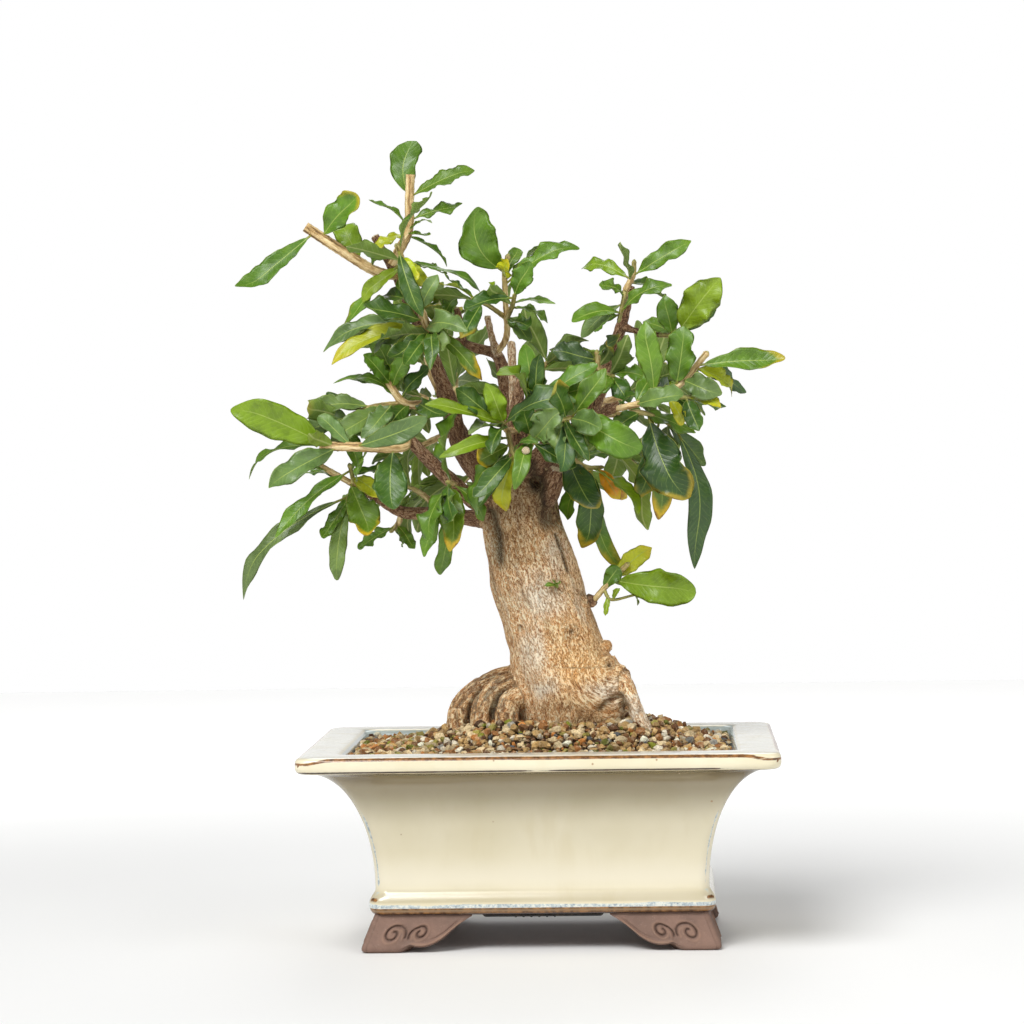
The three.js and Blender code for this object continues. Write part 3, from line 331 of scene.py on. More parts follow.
def lampAt(name, kind, at, aim, energy, **settings):
    data = bpy.data.lights.new(name, kind)
    data.energy = energy
    for key, value in settings.items():
        setattr(data, key, value)
    lamp = addObject(name, data)
    lamp.location = at
    lamp.rotation_euler = (Vector(aim) - Vector(at)).to_track_quat("-Z", "Y").to_euler()


def addFloor():
    half = studio["floorHalf"]
    mesh = bpy.data.meshes.new("floor")
    mesh.from_pydata([(-half, -half, 0), (half, -half, 0), (half, half, 0), (-half, half, 0)], [], [(0, 1, 2, 3)])
    board = Finish("paleFloor", Roughness=0.55, Base_Color=studio["floorColour"], Emission_Color=studio["white"])
    far = board.node("VectorMath", {0: board.place}, operation="LENGTH").outputs["Value"]
    near, wide, glow = studio["glow"]
    board.tree.links.new(board.between(far, near, wide, 0, glow), board.shader.inputs["Emission Strength"])
    mesh.materials.append(board.material)
    addObject("floor", mesh)


def addWorld():
    # what the camera sees is white, and what lights the object is brighter level with it than overhead
    world = bpy.data.worlds.new("studio")
    bpy.context.scene.world = world
    world.use_nodes = True
    tree, white = world.node_tree, studio["white"]
    tree.nodes.clear()
    where = addNode(tree, "TexCoord").outputs["Generated"]
    rise = addNode(tree, "SeparateXYZ", {0: where}).outputs["Z"]
    level = addNode(tree, "Math", {0: rise}, operation="ABSOLUTE").outputs[0]
    keys = ("From Min", "From Max", "To Min", "To Max")
    limits = dict(zip(keys, studio["wallTop"] + (studio["walls"], studio["ceiling"])))
    fade = addNode(tree, "MapRange", {"Value": level} | limits).outputs[0]
    lit = addNode(tree, "Background", {"Color": white, "Strength": fade}).outputs[0]
    seen = addNode(tree, "Background", {"Color": white, "Strength": studio["backdrop"]}).outputs[0]
    direct = addNode(tree, "LightPath").outputs["Is Camera Ray"]
    either = addNode(tree, "MixShader", {0: direct, 1: lit, 2: seen}).outputs[0]
    addNode(tree, "OutputWorld", {"Surface": either})


def addLights():
    at, strength, width = studio["sun"]
    lampAt("sun", "SUN", at, (0, 0, 0), strength, angle=math.radians(width))
    for number, (at, size, watts) in enumerate(studio["lamps"]):
        lampAt(f"lamp{number}", "AREA", at, studio["aim"], watts, size=size)
    settings = bpy.context.scene.view_settings
    settings.view_transform, settings.look = "Standard", "None"


addCamera()
addFloor()
addWorld()
addLights()
print("camera, floor and light are in")

pot = dict(
    rimHalf=(152, 118), corner=9, innerCorner=8, sideParts=(56, 44), cornerParts=10, rows=170, uneven=0.35,
    wallFoot=40, wallHeight=77, wallTopInset=5.5, wallReach=40, lowest=23.1, base=24, floor=35, top=128,
    drain=(11, 50), wireHole=(2, 38, -58),  # radius, and place across and in depth
    bead=[(24, 47.6), (23.3, 46.8), (23.1, 45.6), (23.4, 44.2), (24.6, 43), (26.2, 42.2), (28.4, 41.6),
          (31.4, 41.7), (33.6, 42.4), (35.6, 43.6), (38, 45.3)],  # height and inset, as in the next three
    lip=[(117, 5.5), (117.4, 2.6), (118.6, 1.0), (120.6, 0.3), (122.8, 0.2), (125, 0.3), (126.4, 0.9)],
    rim=[(127.3, 2.2), (127.8, 4.5), (128, 10), (128, 19), (127.9, 23.5), (127.1, 26.6), (125, 28.4)],
    bottom=[(43, 53.5), (36.5, 55), (35, 56.5), (35, 62)],
)


def flare(z):  # the wall's inset: a quarter of an ellipse, upright at the foot
    rise = np.clip((z - pot["wallFoot"]) / pot["wallHeight"], 0, 1)
    return pot["wallTopInset"] + pot["wallReach"] * np.sqrt(1 - rise ** 2)


def roundedOutline(parts=pot["sideParts"], corner=pot["cornerParts"]):
    # for each point once round: where its corner's middle lies, from -1 to 1, and its way out from there
    middles, ways = [], []
    signs = [(1, 1), (-1, 1), (-1, -1), (1, -1)]
    for k, (sx, sy) in enumerate(signs):
        turn = np.pi / 2 * (k + np.arange(corner + 1) / corner)
        middles.append(np.tile((sx, sy), (corner + 1, 1)))
        ways.append(together(np.cos(turn), np.sin(turn)))
        share = (np.arange(1, parts[k % 2]) / parts[k % 2])[:, None]
        middles.append((1 - share) * (sx, sy) + share * np.array(signs[(k + 1) % 4]))
        ways.append(np.tile(ways[-1][-1], (parts[k % 2] - 1, 1)))
    return np.concatenate(middles).astype(float), np.concatenate(ways)


def outlineRings(heights, insets, radii, **parts):
    # the outline at each height: corner middles drawn in by inset and radius, plus the way out by the radius
    middles, ways = roundedOutline(**parts)
    half = np.array(pot["rimHalf"]) - np.asarray(insets)[:, None] - np.asarray(radii)[:, None]
    flat = middles[None] * half[:, None] + ways[None] * np.asarray(radii)[:, None, None]
    tall = np.broadcast_to(np.asarray(heights)[:, None, None], flat.shape[:2] + (1,))
    return np.concatenate([flat, tall], axis=2)


def softProfile(corners, soft, rows):
    # the bent line sampled finely and blurred, then rows of it spread by length and by turning together
    corners = np.asarray(corners, float)
    run = runAlong(corners)
    fine = np.arange(0, run[-1], 0.1)
    line = together(*[np.interp(fine, run, corners[:, k]) for k in range(2)])
    reach = int(30 * soft)
    weights = np.exp(-0.5 * (np.arange(-reach, reach + 1) * 0.1 / soft) ** 2)
    padded = np.pad(line, ((reach, reach), (0, 0)), mode="reflect", reflect_type="odd")
    line = together(*[np.convolve(padded[:, k], weights / weights.sum(), "valid") for k in range(2)])
    way = np.gradient(line, axis=0)
    bend = np.abs(np.gradient(np.unwrap(np.arctan2(way[:, 1], way[:, 0]))))
    measure = np.cumsum(spans(way) + 7 * bend)
    at = np.interp(np.linspace(measure[0], measure[-1], rows), measure, np.arange(len(line)))
    return together(*[np.interp(at, np.arange(len(line)), line[:, k]) for k in range(2)])


def drilled(mesh, holes):
    # round holes cut through a mesh; a hole is its middle, radius and lowest and highest point
    for x, y, radius, low, high in holes:
        turn = turns(40)
        ring = together(x + radius * np.cos(turn), y + radius * np.sin(turn), 0 * turn)
        ends = np.stack([ring + (0, 0, low), ring + (0, 0, high)])
        cutter = addObject("drill", meshFrom("drill", *ringSkin(ends)))
        mesh = settled(mesh, "BOOLEAN", operation="DIFFERENCE", object=cutter, solver="EXACT")
        bpy.data.objects.remove(cutter)
    return mesh


def makeGlaze():
    # cream glaze: pale blue where it pools, brown where it thins over an edge, bare clay at the foot, with painted
    # light and shade: paler low on the wall, whiter on the rim top, darker under the lip, and a near-black painted
    # shadow line under the lip and the bead
    made = Finish("creamGlaze", Roughness=0.16, Coat_Weight=0.3, Coat_Roughness=0.05)
    broad, fine, ragged = made.noise(14), made.noise(420, 4, 0.7), made.noise(260, 4, 0.75)
    streak = made.noise(60, 3, 0.6, made.stretched(made.place, (1, 1, 0.12)))
    made.body = made.mix(made.between(broad, 0.35, 0.7), (222, 212, 180), (230, 221, 193))
    made.over(made.between(streak, 0.5, 0.75, 0, 0.3), (216, 203, 164))
    # painted light: the low wall paler, as if lit from below
    made.over("lower", (234, 226, 203))
    # painted shade: darker under the overhanging lip and on the strip above the bead that faces the sky
    made.over("shaded", (118, 104, 74), "MULTIPLY")
    # the flat rim top painted whiter, a painted reflection of the bright overhead, with streaks
    made.over("top", made.mix(made.between(streak, 0.4, 0.7), (240, 239, 229), (232, 227, 208)))
    made.over("inside", (186, 198, 196))
    speck, sparse = made.cells(120, "Distance"), made.cells(120, "Color")
    hole = made.times(made.between(speck, 0.05, 0.11, 1, 0), made.between(sparse, 0.66, 0.72))
    made.over(made.times(hole, 0.85), made.mix(fine, (110, 74, 40), (190, 150, 100)))
    pool = made.between(made.times("pool", made.plus(ragged, 0.45)), 0.36, 0.62)
    made.over(pool, made.ramp(fine, (0.3, (112, 126, 138)), (0.46, (178, 190, 194)), (0.6, (222, 224, 214))))
    thin = made.between(made.times("thin", made.plus(ragged, 0.5)), 0.3, 0.72)
    brown = made.ramp(made.noise(300), (0.35, (86, 54, 28)), (0.65, (158, 110, 62)))
    # brown glaze breaks; black turns them into a near-black painted shadow line under the lip and under the bead
    made.over(thin, made.mix("black", made.mix("beige", brown, (144, 116, 80)), (56, 44, 34)))
    made.over("bare", made.mix(made.noise(300, 4), (92, 62, 48), (122, 86, 66)))
    dull = made.maths("MAXIMUM", made.times("bare", 0.55), made.times(hole, 0.3))
    height = made.minus(made.noise(900, 2), made.times(hole, 2.4))
    return made.done(height, 0.12, 0.25, made.plus(dull, made.between(fine, 0.3, 0.8, 0.12, 0.22)))


def makePot():
    # the outline carried up a soft profile: bead, flared wall, dropped lip, flat rim, inner wall and floor
    stations = pot["wallFoot"] + pot["wallHeight"] * np.sin(np.linspace(0, np.pi / 2, 40)[:-1])
    wall = [(z, float(flare(z))) for z in stations]
    innerWall = [(z, float(flare(z)) + thick) for z, thick in ((108, 9), (88, 8), (66, 8))]
    line = pot["bead"] + wall + pot["lip"] + pot["rim"] + innerWall + pot["bottom"]
    profile = softProfile(line, 0.55, pot["rows"])
    profile[0, 0], profile[-1, 0] = pot["base"], pot["floor"]
    highest = int(np.argmax(profile[:, 0]))
    radii = np.interp(np.arange(len(profile)), (highest - 6, highest + 4), (pot["corner"], pot["innerCorner"]))
    points, faces = ringSkin(outlineRings(profile[:, 0], profile[:, 1], radii))
    drawn = pot["uneven"] * (0.5 + 0.5 * clouds(points, 60, 2, 5))[:, None]
    points[:, :2] -= drawn * unit(points[:, :2] / np.array(pot["rimHalf"]))
    sag = 0.25 * (0.5 + 0.5 * noise(points, 45, 9)) * (points[:, 2] > pot["wallFoot"])
    points[:, 2] = np.clip(points[:, 2] - sag, pot["lowest"], pot["top"])
    (drain, drainX), (thin, wireX, wireY) = pot["drain"], pot["wireHole"]
    cut = (pot["base"] - 4, pot["floor"] + 5)
    holes = [hole + cut for side in (-1, 1) for hole in ((side * drainX, 0, drain), (side * wireX, wireY, thin))]
    mesh = drilled(meshFrom("pot", points, faces), holes)
    mesh.set_sharp_from_angle(angle=math.radians(50))
    markPot(mesh)
    pieceFrom("glazedPot", mesh, [makeGlaze()], ["pot"])


def markPot(mesh):
    # where the glaze pools, thins and ends, and where light and shade are painted on it, from height, from how near
    # a corner is, and from broad noise
    p = pointsOf(mesh)
    z = p[:, 2]
    wave, quick = noise(p, 24, 3), noise(p, 5, 7)
    awayX, awayY = (half - np.abs(p[:, k]) for k, half in enumerate(pot["rimHalf"]))
    inward = np.minimum(awayX, awayY)
    underneath = inward > 30
    wallInset = np.where(z > 38, flare(z), 43)
    inside = ease(inward, wallInset + 3, wallInset + 5) * (z < 127.4) * (z > 34) + (inward > 58)
    inside = np.where(z > 126, ease(inward, 26.2, 27.5), np.clip(inside, 0, 1))
    outside = 1 - inside
    corner = np.hypot(awayX - wallInset, awayY - wallInset)
    alongRim = -np.where(awayY < awayX, awayX, awayY)
    band = window(z, 27.6 + 0.3 * wave, 28.3 + 0.3 * wave, 29.4 + 1.0 * wave, 31.2 + 1.4 * wave)
    upright = (1 - ease(corner, 3.8, 4.5)) * window(z, 38, 44, 84 + 10 * wave, 100 + 10 * wave)
    line = 126.3 - 2.4 * ease(alongRim, -24, -7) + 0.15 * wave
    ridge = 1.5 * bell(z - line, 0.9) * (inward < 4) * (1 - 0.35 * ease(alongRim, -26, -10))
    ridge = np.maximum(ridge, (np.hypot(2.6 - awayX, 2.6 - awayY) < 1.3) * (np.abs(z - 122.6) < 1.1))
    # a painted shadow line along the underside of the lip
    lipShadowLine = 1.2 * bell(z - 118.4, 0.6) * (inward < 8) * ease(wave, -0.9, 0.1)
    bead = (1 - ease(z, 27.4 + 0.3 * wave, 28 + 0.3 * wave)) * underneath
    tips = 0.8 * (1 - ease(corner, 4.2, 5.4)) * window(z, 31, 32.5, 33.5, 35 + wave)
    # painted shade under the overhanging lip, deepest just below it
    underLipShade = (0.7 * ease(z, 78, 107) + 0.3 * ease(z, 106, 116)) * (z < 117.6) * (inward > 1)
    mark(mesh, pool=outside * np.maximum(band, upright * (0.8 + 0.25 * quick)),
         thin=outside * np.clip(ridge + lipShadowLine + bead + tips, 0, 1.3),
         # black: a painted shadow line under the lip and under the bead
         black=outside * np.clip(lipShadowLine + (1 - ease(z, 23.9, 24.7)) * underneath, 0, 1),
         bare=(z < 35.5) * ease(inward, 46, 46.6), beige=window(z, 25, 25.5, 26.5, 27.1) * underneath,
         # top paints the flat rim whiter as a painted reflection; lower paints the low wall paler as painted light
         top=ease(z, 127.0, 127.7) * outside, lower=0.8 * window(z, 36, 46, 46, 64) * outside,
         # shaded: painted shade under the lip and on the strip above the bead
         shaded=outside * (underLipShade + 0.3 * window(z, 30, 32, 35, 40)), inside=inside)


makePot()
print("pot is made")


foot = dict(
    corner=(105.7, 71.7), high=24, thick=12, splay=0.4, tuck=4.5, shift=-0.8, scaleY=0.76, length=62.5,
    roundCorner=3.0, step=0.5, lip=1.6,
    outline=[(0, 0), (22.5, 0), (27, 2.6), (29.5, 4.7), (34.5, 3.5), (39.5, 3.6), (44, 5), (48.5, 8.2), (52, 12.4),
             (55.5, 16.4), (59, 19.4), (62.5, 22.2)],
    scrolls=[  # middle, inner and outer radius, tail's extra, hand, start and turn in degrees
        (16.8, 11.3, 1.6, 6.2, 2.4, 1, -12, 462), (34.2, 12.2, 1.7, 4.7, 2.6, -1, -26, 425),
    ],
    groove=0.75, carved=1.25, swell=0.55,
)


def footRelief(u, v, low):
    # two carved spirals, each from a tail by the notch over the top and in by an even step: a bell-shaped
    # groove along the line, and the clay beside it swollen a little; a roll follows the lower edge
    height, share = np.zeros_like(u), np.linspace(0, 1, 120)
    for middleU, middleV, inner, outer, tail, hand, start, turn in foot["scrolls"]:
        angle = np.radians(start + turn * share)
        far = outer + (inner - outer) * share + tail * (1 - ease(share, 0, 0.2))
        lineU, lineV = middleU + hand * far * np.cos(angle), middleV + far * np.sin(angle)
        gap = np.min(np.hypot(u[..., None] - lineU, v[..., None] - lineV), axis=-1)
        near = ease(-np.hypot(u - middleU, v - middleV), -outer - 3, -outer - 1)
        height += foot["swell"] * near * bell(gap - 1.7, 1.1) - foot["carved"] * bell(gap, foot["groove"])
    edge = v - low
    roll = 0.9 * bell(edge - 1.2, 1.5) * window(u, 24, 34, 54, 60)
    groove = 0.6 * bell(edge - 3.9, 0.8) * window(u, 38, 44, 52, 58)
    height = np.where(height > -0.2, np.maximum(height, roll), height) - groove
    return height * ease(u, 1.5, 5) * (1 - ease(v, 21, 23.4))


def makeFoot(name, sx, sy):
    # a closed section (face, rounded lower edge, back, top) carried along an L, with the outline as its lower end
    step, thick, high, lip, curve = (foot[key] for key in ("step", "thick", "high", "lip", "roundCorner"))
    lengthX, lengthY = foot["length"], foot["length"] * foot["scaleY"]
    backY = np.arange(lengthY, curve, -step)
    alongX = np.arange(lengthX, curve, -step)[::-1]
    bend = np.linspace(0, np.pi / 2, 9)

    def columns(side, corner, front):  # one value for each column of the side leg, the corner and the front leg
        return np.concatenate([side + 0 * backY, corner + 0 * bend, front + 0 * alongX])

    def rounded(a):  # a quarter circle's place inwards and up
        return lip * (1 - math.cos(a)), lip * (1 - math.sin(a))

    u = columns(backY / foot["scaleY"], 0, alongX)  # place along the outline, from the corner
    low = softProfile([(b, a) for a, b in foot["outline"]], 0.9, 400)
    low = np.interp(u, np.maximum.accumulate(low[:, 1]), np.maximum(low[:, 0], 0))
    section = [(s, 0, 0) for s in np.linspace(1, 0.06, 34)] + [(0, *rounded(a)) for a in (0.3, 0.8, 1.2, 1.57)]
    section += [(0, thick * s, 0) for s in (0.35, 0.6)]
    section += [(0, thick - rounded(a)[0], rounded(a)[1]) for a in (1.57, 1.0, 0.3)]
    section += [(s, thick, 0) for s in (0.15, 0.4, 0.7, 1)] + [(1, thick * s, 0) for s in (0.66, 0.33)]
    share, depth, lift = np.array(section, float).T[..., None]
    v = low + (high - low) * share + np.minimum(lift, (high - low) * 0.45)
    w, uu = np.broadcast_to(depth, v.shape), np.broadcast_to(u, v.shape)
    place = together(uu.ravel(), v.ravel(), w.ravel() + 50 * sx + 90 * sy)
    relief = footRelief(uu, v, low) * (depth == 0) + 0.12 * noise(place, 3.0, 4).reshape(v.shape)
    tight = np.maximum(curve - w, 0.3)
    inX = w + tight * columns(0, 1 - np.sin(bend), 0) + columns(0, 0, alongX) * (lengthX - w) / lengthX
    inY = w + tight * columns(0, 1 - np.cos(bend), 0) + columns(backY, 0, 0) * (lengthY - w) / lengthY
    under = np.clip(1 - v / foot["tuck"], 0, 1)  # the lower edge turns in by part of a quarter circle
    splay = (high - v) * foot["splay"] - 0.8 * foot["tuck"] * (1 - np.sqrt(1 - 0.999 * under ** 2))
    x = foot["shift"] + sx * (foot["corner"][0] + splay - inX + relief * columns(1, 0.7, 0))
    y = sy * (foot["corner"][1] + splay - inY + relief * columns(0, 0.7, 1))
    rings = together(x, y, np.maximum(v, 0), relief).transpose(1, 0, 2)
    if sx * sy > 0:
        rings = rings[:, ::-1]
    mesh = meshFrom(name, *ringSkin(rings[..., :3]))
    mesh.set_sharp_from_angle(angle=math.radians(55))
    mark(mesh, raised=np.clip(rings[..., 3].ravel(), -2, 1.5))
    return mesh


def makeClay():
    # bare stoneware: red-brown, with painted shade in the carved grooves, paler where the rolls stand up, with fine
    # grit
    made = Finish("bareClay", Roughness=0.72)
    broad, grit = made.noise(45, 4, 0.65), made.noise(700, 3, 0.8)
    made.body = made.mix(made.between(broad, 0.3, 0.7), (108, 83, 70), (132, 104, 90))
    # painted shade: the carved grooves darkened
    made.over(made.between("raised", -1.1, -0.15, 0.8, 0), (64, 44, 35))
    made.over(made.between("raised", 0.15, 0.7, 0, 0.35), (156, 122, 98))
    made.over(made.between(grit, 0.58, 0.72, 0, 0.4), (166, 142, 126))
    made.over(made.between(grit, 0.25, 0.38, 0.5, 0), (66, 44, 38))
    return made.done(made.plus(grit, made.noise(180)), 0.35, 0.3, made.between(broad, 0.2, 0.8, 0.6, 0.85))


bareClay = makeClay()
for depthName, sy in (("front", -1), ("rear", 1)):
    for sideName, sx in (("left", -1), ("right", 1)):
        node = f"foot_{depthName}_{sideName}"
        pieceFrom(f"scroll_{node}", makeFoot(node, sx, sy), [bareClay], [node])
print("feet are made")


netting = dict(side=34, floorZ=35, middleX=50, bars=13, barRadius=0.396, weave=0.24)
wire = dict(
    radius=0.97, x=38, y=-58, top=58, low=20.5, bend=1.2,
    twist=0.45, windWide=1.27, windHigh=1.143, pitch=5.0,  # the thin strand wound round it
)


def makeNetting(side):
    # two layers of level bars, those along x woven a little over and under those along y by a sine
    half, count = netting["side"] / 2 - 0.6, netting["bars"]
    spots = np.linspace(-half, half, count)
    run = np.linspace(-half, half, 6 * (count - 1) + 1)
    parts = []
    x, z, radius = side * netting["middleX"], netting["floorZ"] + 0.7, netting["barRadius"]
    for number, spot in enumerate(spots):
        wave = netting["weave"] * np.cos(np.pi * (run + half) / (spots[1] - spots[0])) * (-1) ** number
        parts.append(tube(together(x + run, spot, z + wave, radius), 6))
        parts.append(tube(together(x + spot, run, z - wave, radius), 6))
    return meshFrom("netting", *gather(parts))


def makeWire():
    # up through the floor at both ends and straight under the base, with a second strand wound round the middle
    x, y, top, low, bend = wire["x"], wire["y"], wire["top"], wire["low"], wire["bend"]
    half = [(x - 8, y, top + 4), (x - 2, y, top), (x, y, top - 6), (x, y, low + bend), (x - bend, y, low)]
    bent = np.array(half + [(-a, b, c) for a, b, c in half[::-1]], float)
    run = runAlong(bent)
    at = np.unique(np.concatenate([run, np.arange(0, run[-1], 1.0)]))
    line = together(*[np.interp(at, run, bent[:, k]) for k in range(3)], wire["radius"])
    turn = np.arange(-14, 14, 0.25) * 2 * np.pi / wire["pitch"]
    along = turn * wire["pitch"] / (2 * np.pi) - 6
    across, up = wire["windWide"] * np.cos(turn), wire["windHigh"] * np.sin(turn)
    strand = together(along, y + across, low + 0.2 + up, wire["twist"])
    return meshFrom("wire", *gather([tube(line, 12), tube(strand, 8)]))


def makePlastic(name, dark, light, roughness):  # dull where dust lies on it
    made = Finish(name, Roughness=roughness)
    dust = made.noise(260, 4, 0.7)
    made.body = made.mix(made.between(dust, 0.45, 0.75), dark, light)
    return made.done(dust, 0.15, 0.2, made.between(dust, 0.3, 0.7, roughness, roughness + 0.2))


blackPlastic = makePlastic("blackNetting", (24, 25, 25), (62, 58, 50), 0.5)
for sideName, side in (("left", -1), ("right", 1)):
    node = f"drainage_mesh_{sideName}"
    pieceFrom(f"netting_{sideName}", makeNetting(side), [blackPlastic], [node])
blackWire = makePlastic("wireCoat", (30, 28, 27), (80, 72, 62), 0.35)
pieceFrom("twistedTieWire", makeWire(), [blackWire], ["tie_wire"])
print("netting and wire are made")


# the old wood in whole millimetres
trunkRings = [  # middle across and in depth, height, half width and half depth
    (20, 0, 107, 22, 18), (20, 0, 125, 28, 23), (19, 0, 140, 34, 28), (20, 0, 153, 38.5, 31),
    (17, 0, 169, 37, 31), (10, 2, 186, 31.5, 28), (5, 3, 204, 30.5, 27), (-3, 4, 228, 30.5, 27),
    (-8, 5, 250, 28.5, 26), (-12, 6, 271, 25.5, 25), (-14, 6, 287, 24, 23), (-16, 6, 297, 17, 18),
]
roots = {  # bent lines of points with their radius
    "rib1": [
        (-13, 8, 167, 9), (-22, 6, 168, 7.6), (-31, 3, 166, 7.4), (-41, 0, 162, 7.2), (-49, -3, 155, 7.3),
        (-54, -5, 148, 7.6), (-55, -7, 140, 8), (-56, -8, 125, 8.4)],
    "rib2": [
        (-11, -1, 163, 9), (-21, -4, 163, 7.6), (-30, -8, 160, 7.4), (-36, -12, 154, 7.4), (-39, -14, 147, 7.6),
        (-40, -16, 125, 7.8)],
    "rib3": [
        (-6, -8, 155, 9), (-14, -12, 157, 7.6), (-21, -18, 153, 7.6), (-23, -20, 147, 7.8), (-23, -22, 125, 8.2)],
    "leg": [
        (40, -8, 169, 12), (52, -16, 163, 6.6), (57, -21, 155, 4.8), (62, -25, 145, 4), (68, -28, 133, 3.4),
        (70, -29, 124, 3.2)],
    "backRightRoot": [(27, 14, 158, 12), (44, 40, 150, 8), (59, 58, 133, 6), (68, 68, 112, 4.6)],
    "backLeftRoot": [(1, 16, 159, 12), (-21, 42, 153, 8), (-38, 58, 138, 6.4), (-50, 68, 113, 4.8)],
    "backRoot": [(15, 14, 159, 12), (14, 48, 151, 8), (10, 66, 137, 6.4), (8, 80, 112, 4.8)],
}
branches = {  # bent lines of points with their radius
    "leftLow": [
        (-25, -2, 281, 8), (-40, -10, 283, 6), (-57, -16, 298, 5), (-73, -20, 314, 4.4), (-86, -24, 329, 3.4)],
    "leftLowest": [
        (-25, 6, 271, 8), (-47, 12, 273, 5.4), (-67, 18, 276, 4.6), (-91, 22, 277, 4), (-107, 18, 286, 3.2),
        (-117, 12, 292, 2.8)],
    "leftUp": [
        (-23, 10, 286, 11), (-37, 16, 300, 8.5), (-52, 22, 319, 6.6), (-59, 26, 347, 5.4), (-72, 20, 384, 4.6),
        (-85, 12, 417, 4), (-95, 6, 440, 3.2)],
    "centre": [(-13, 0, 294, 11), (-13, -6, 318, 6.5), (-14, -8, 340, 5), (-10, -12, 367, 2.8)],
    "centrePale": [(-14, -6, 330, 4), (-16, -2, 346, 3), (-17, 2, 388, 2.9)],
    "centreBack": [
        (-13, 4, 314, 6), (-21, 26, 347, 5), (-27, 40, 378, 4), (-42, 44, 385, 3.4), (-57, 42, 390, 2.8)],
    "redStub": [(-27, 40, 378, 3.6), (-31, 34, 391, 2.4), (-34, 30, 406, 2.3)],
    "right": [
        (-3, 8, 297, 10), (14, 24, 316, 6.5), (34, 30, 343, 5.2), (46, 24, 372, 4.6), (55, 16, 398, 3.8),
        (62, 10, 423, 2.7)],
    "rightLow": [
        (-6, -8, 301, 8), (8, -26, 323, 3.8), (28, -34, 333, 3.2), (46, -40, 341, 2.8), (53, -42, 343, 2.4)],
    "frontStub": [(-11, -6, 305, 6), (-8, -26, 314, 3.2), (-7, -42, 316, 2.7)],
    "backLeft": [(-21, 16, 289, 10), (-41, 42, 312, 5.5), (-58, 66, 335, 4.4), (-70, 82, 357, 3.2)],
    "backRight": [(-6, 18, 293, 10), (10, 44, 315, 5.5), (31, 68, 333, 4.4), (50, 82, 348, 3)],
    "backTop": [(-14, 10, 304, 9), (-13, 40, 330, 5), (-8, 58, 349, 4), (-5, 68, 362, 3)],
    "lowRight": [(19, 0, 215, 6), (31, -6, 217, 3.6), (35, -8, 219, 3)],
    "dead": [(0, -6, 281, 10), (9, -12, 296, 7.5), (13, -14, 304, 6)],
    "darkStub": [(-95, 6, 438, 3), (-100, 8, 448, 2.6), (-106, 10, 459, 2.9)],
    "darkStub2": [(-51, 42, 387, 2.6), (-51, 38, 399, 2.2), (-55, 36, 412, 2.2)],
    "rightFork": [(55, 16, 397, 3), (67, 8, 393, 1.9), (83, 0, 390, 1.6)],
}


def farFrom(p, line):
    # how far each point is from a bent line, or from its surface where a radius comes last in each row
    best, line, wide = np.full(len(p), 1e9), np.array(line, float), p.shape[1]
    for a, b in zip(line[:-1], line[1:]):
        d = b[:wide] - a[:wide]
        t = np.clip((p - a[:wide]) @ d / (d @ d), 0, 1)
        far = spans(p - a[:wide] - t[:, None] * d)
        best = np.minimum(best, far - (a[wide] + t * (b[wide] - a[wide]) if len(a) > wide else 0))
    return best


def nearestWood(p, lines):
    # for each point the branch line it lies nearest to, measured from the surface: its distance; the two places
    # across the line, square to its way, and the place along it; the radius there; and the line's number. The
    # trunk is favoured a little, and is straightened: its place across is from the middle at that height
    best = np.full(len(p), 1e9)
    grain, radius, which = np.zeros((len(p), 3)), np.zeros(len(p)), np.zeros(len(p), int)
    for number, line in enumerate(lines):
        line, start = np.asarray(line, float), 37.0 * number
        for a, b in zip(line[:-1], line[1:]):
            d = b[:3] - a[:3]
            length = spans(d)
            t = np.clip((p - a[:3]) @ d / length ** 2, 0, 1)
            off = p - (a[:3] + t[:, None] * d)
            r = a[3] + t * (b[3] - a[3])
            far = spans(off) - r - (trunk["favour"] if number == 0 else 0)
            way = d / length
            across = unit(np.cross(way, askew))
            near = far < best
            here = together(off @ across, off @ np.cross(way, across), start + t * length)
            grain[near], radius[near], which[near], best[near] = here[near], r[near], number, far[near]
            start += length
    middleX, middleY, level = np.array(trunkRings, float).T[:3]
    z = p[:, 2]
    middle = together(np.interp(z, level, middleX), np.interp(z, level, middleY), 0)
    grain[which == 0] = (p - middle)[which == 0]
    return best, grain, radius, which


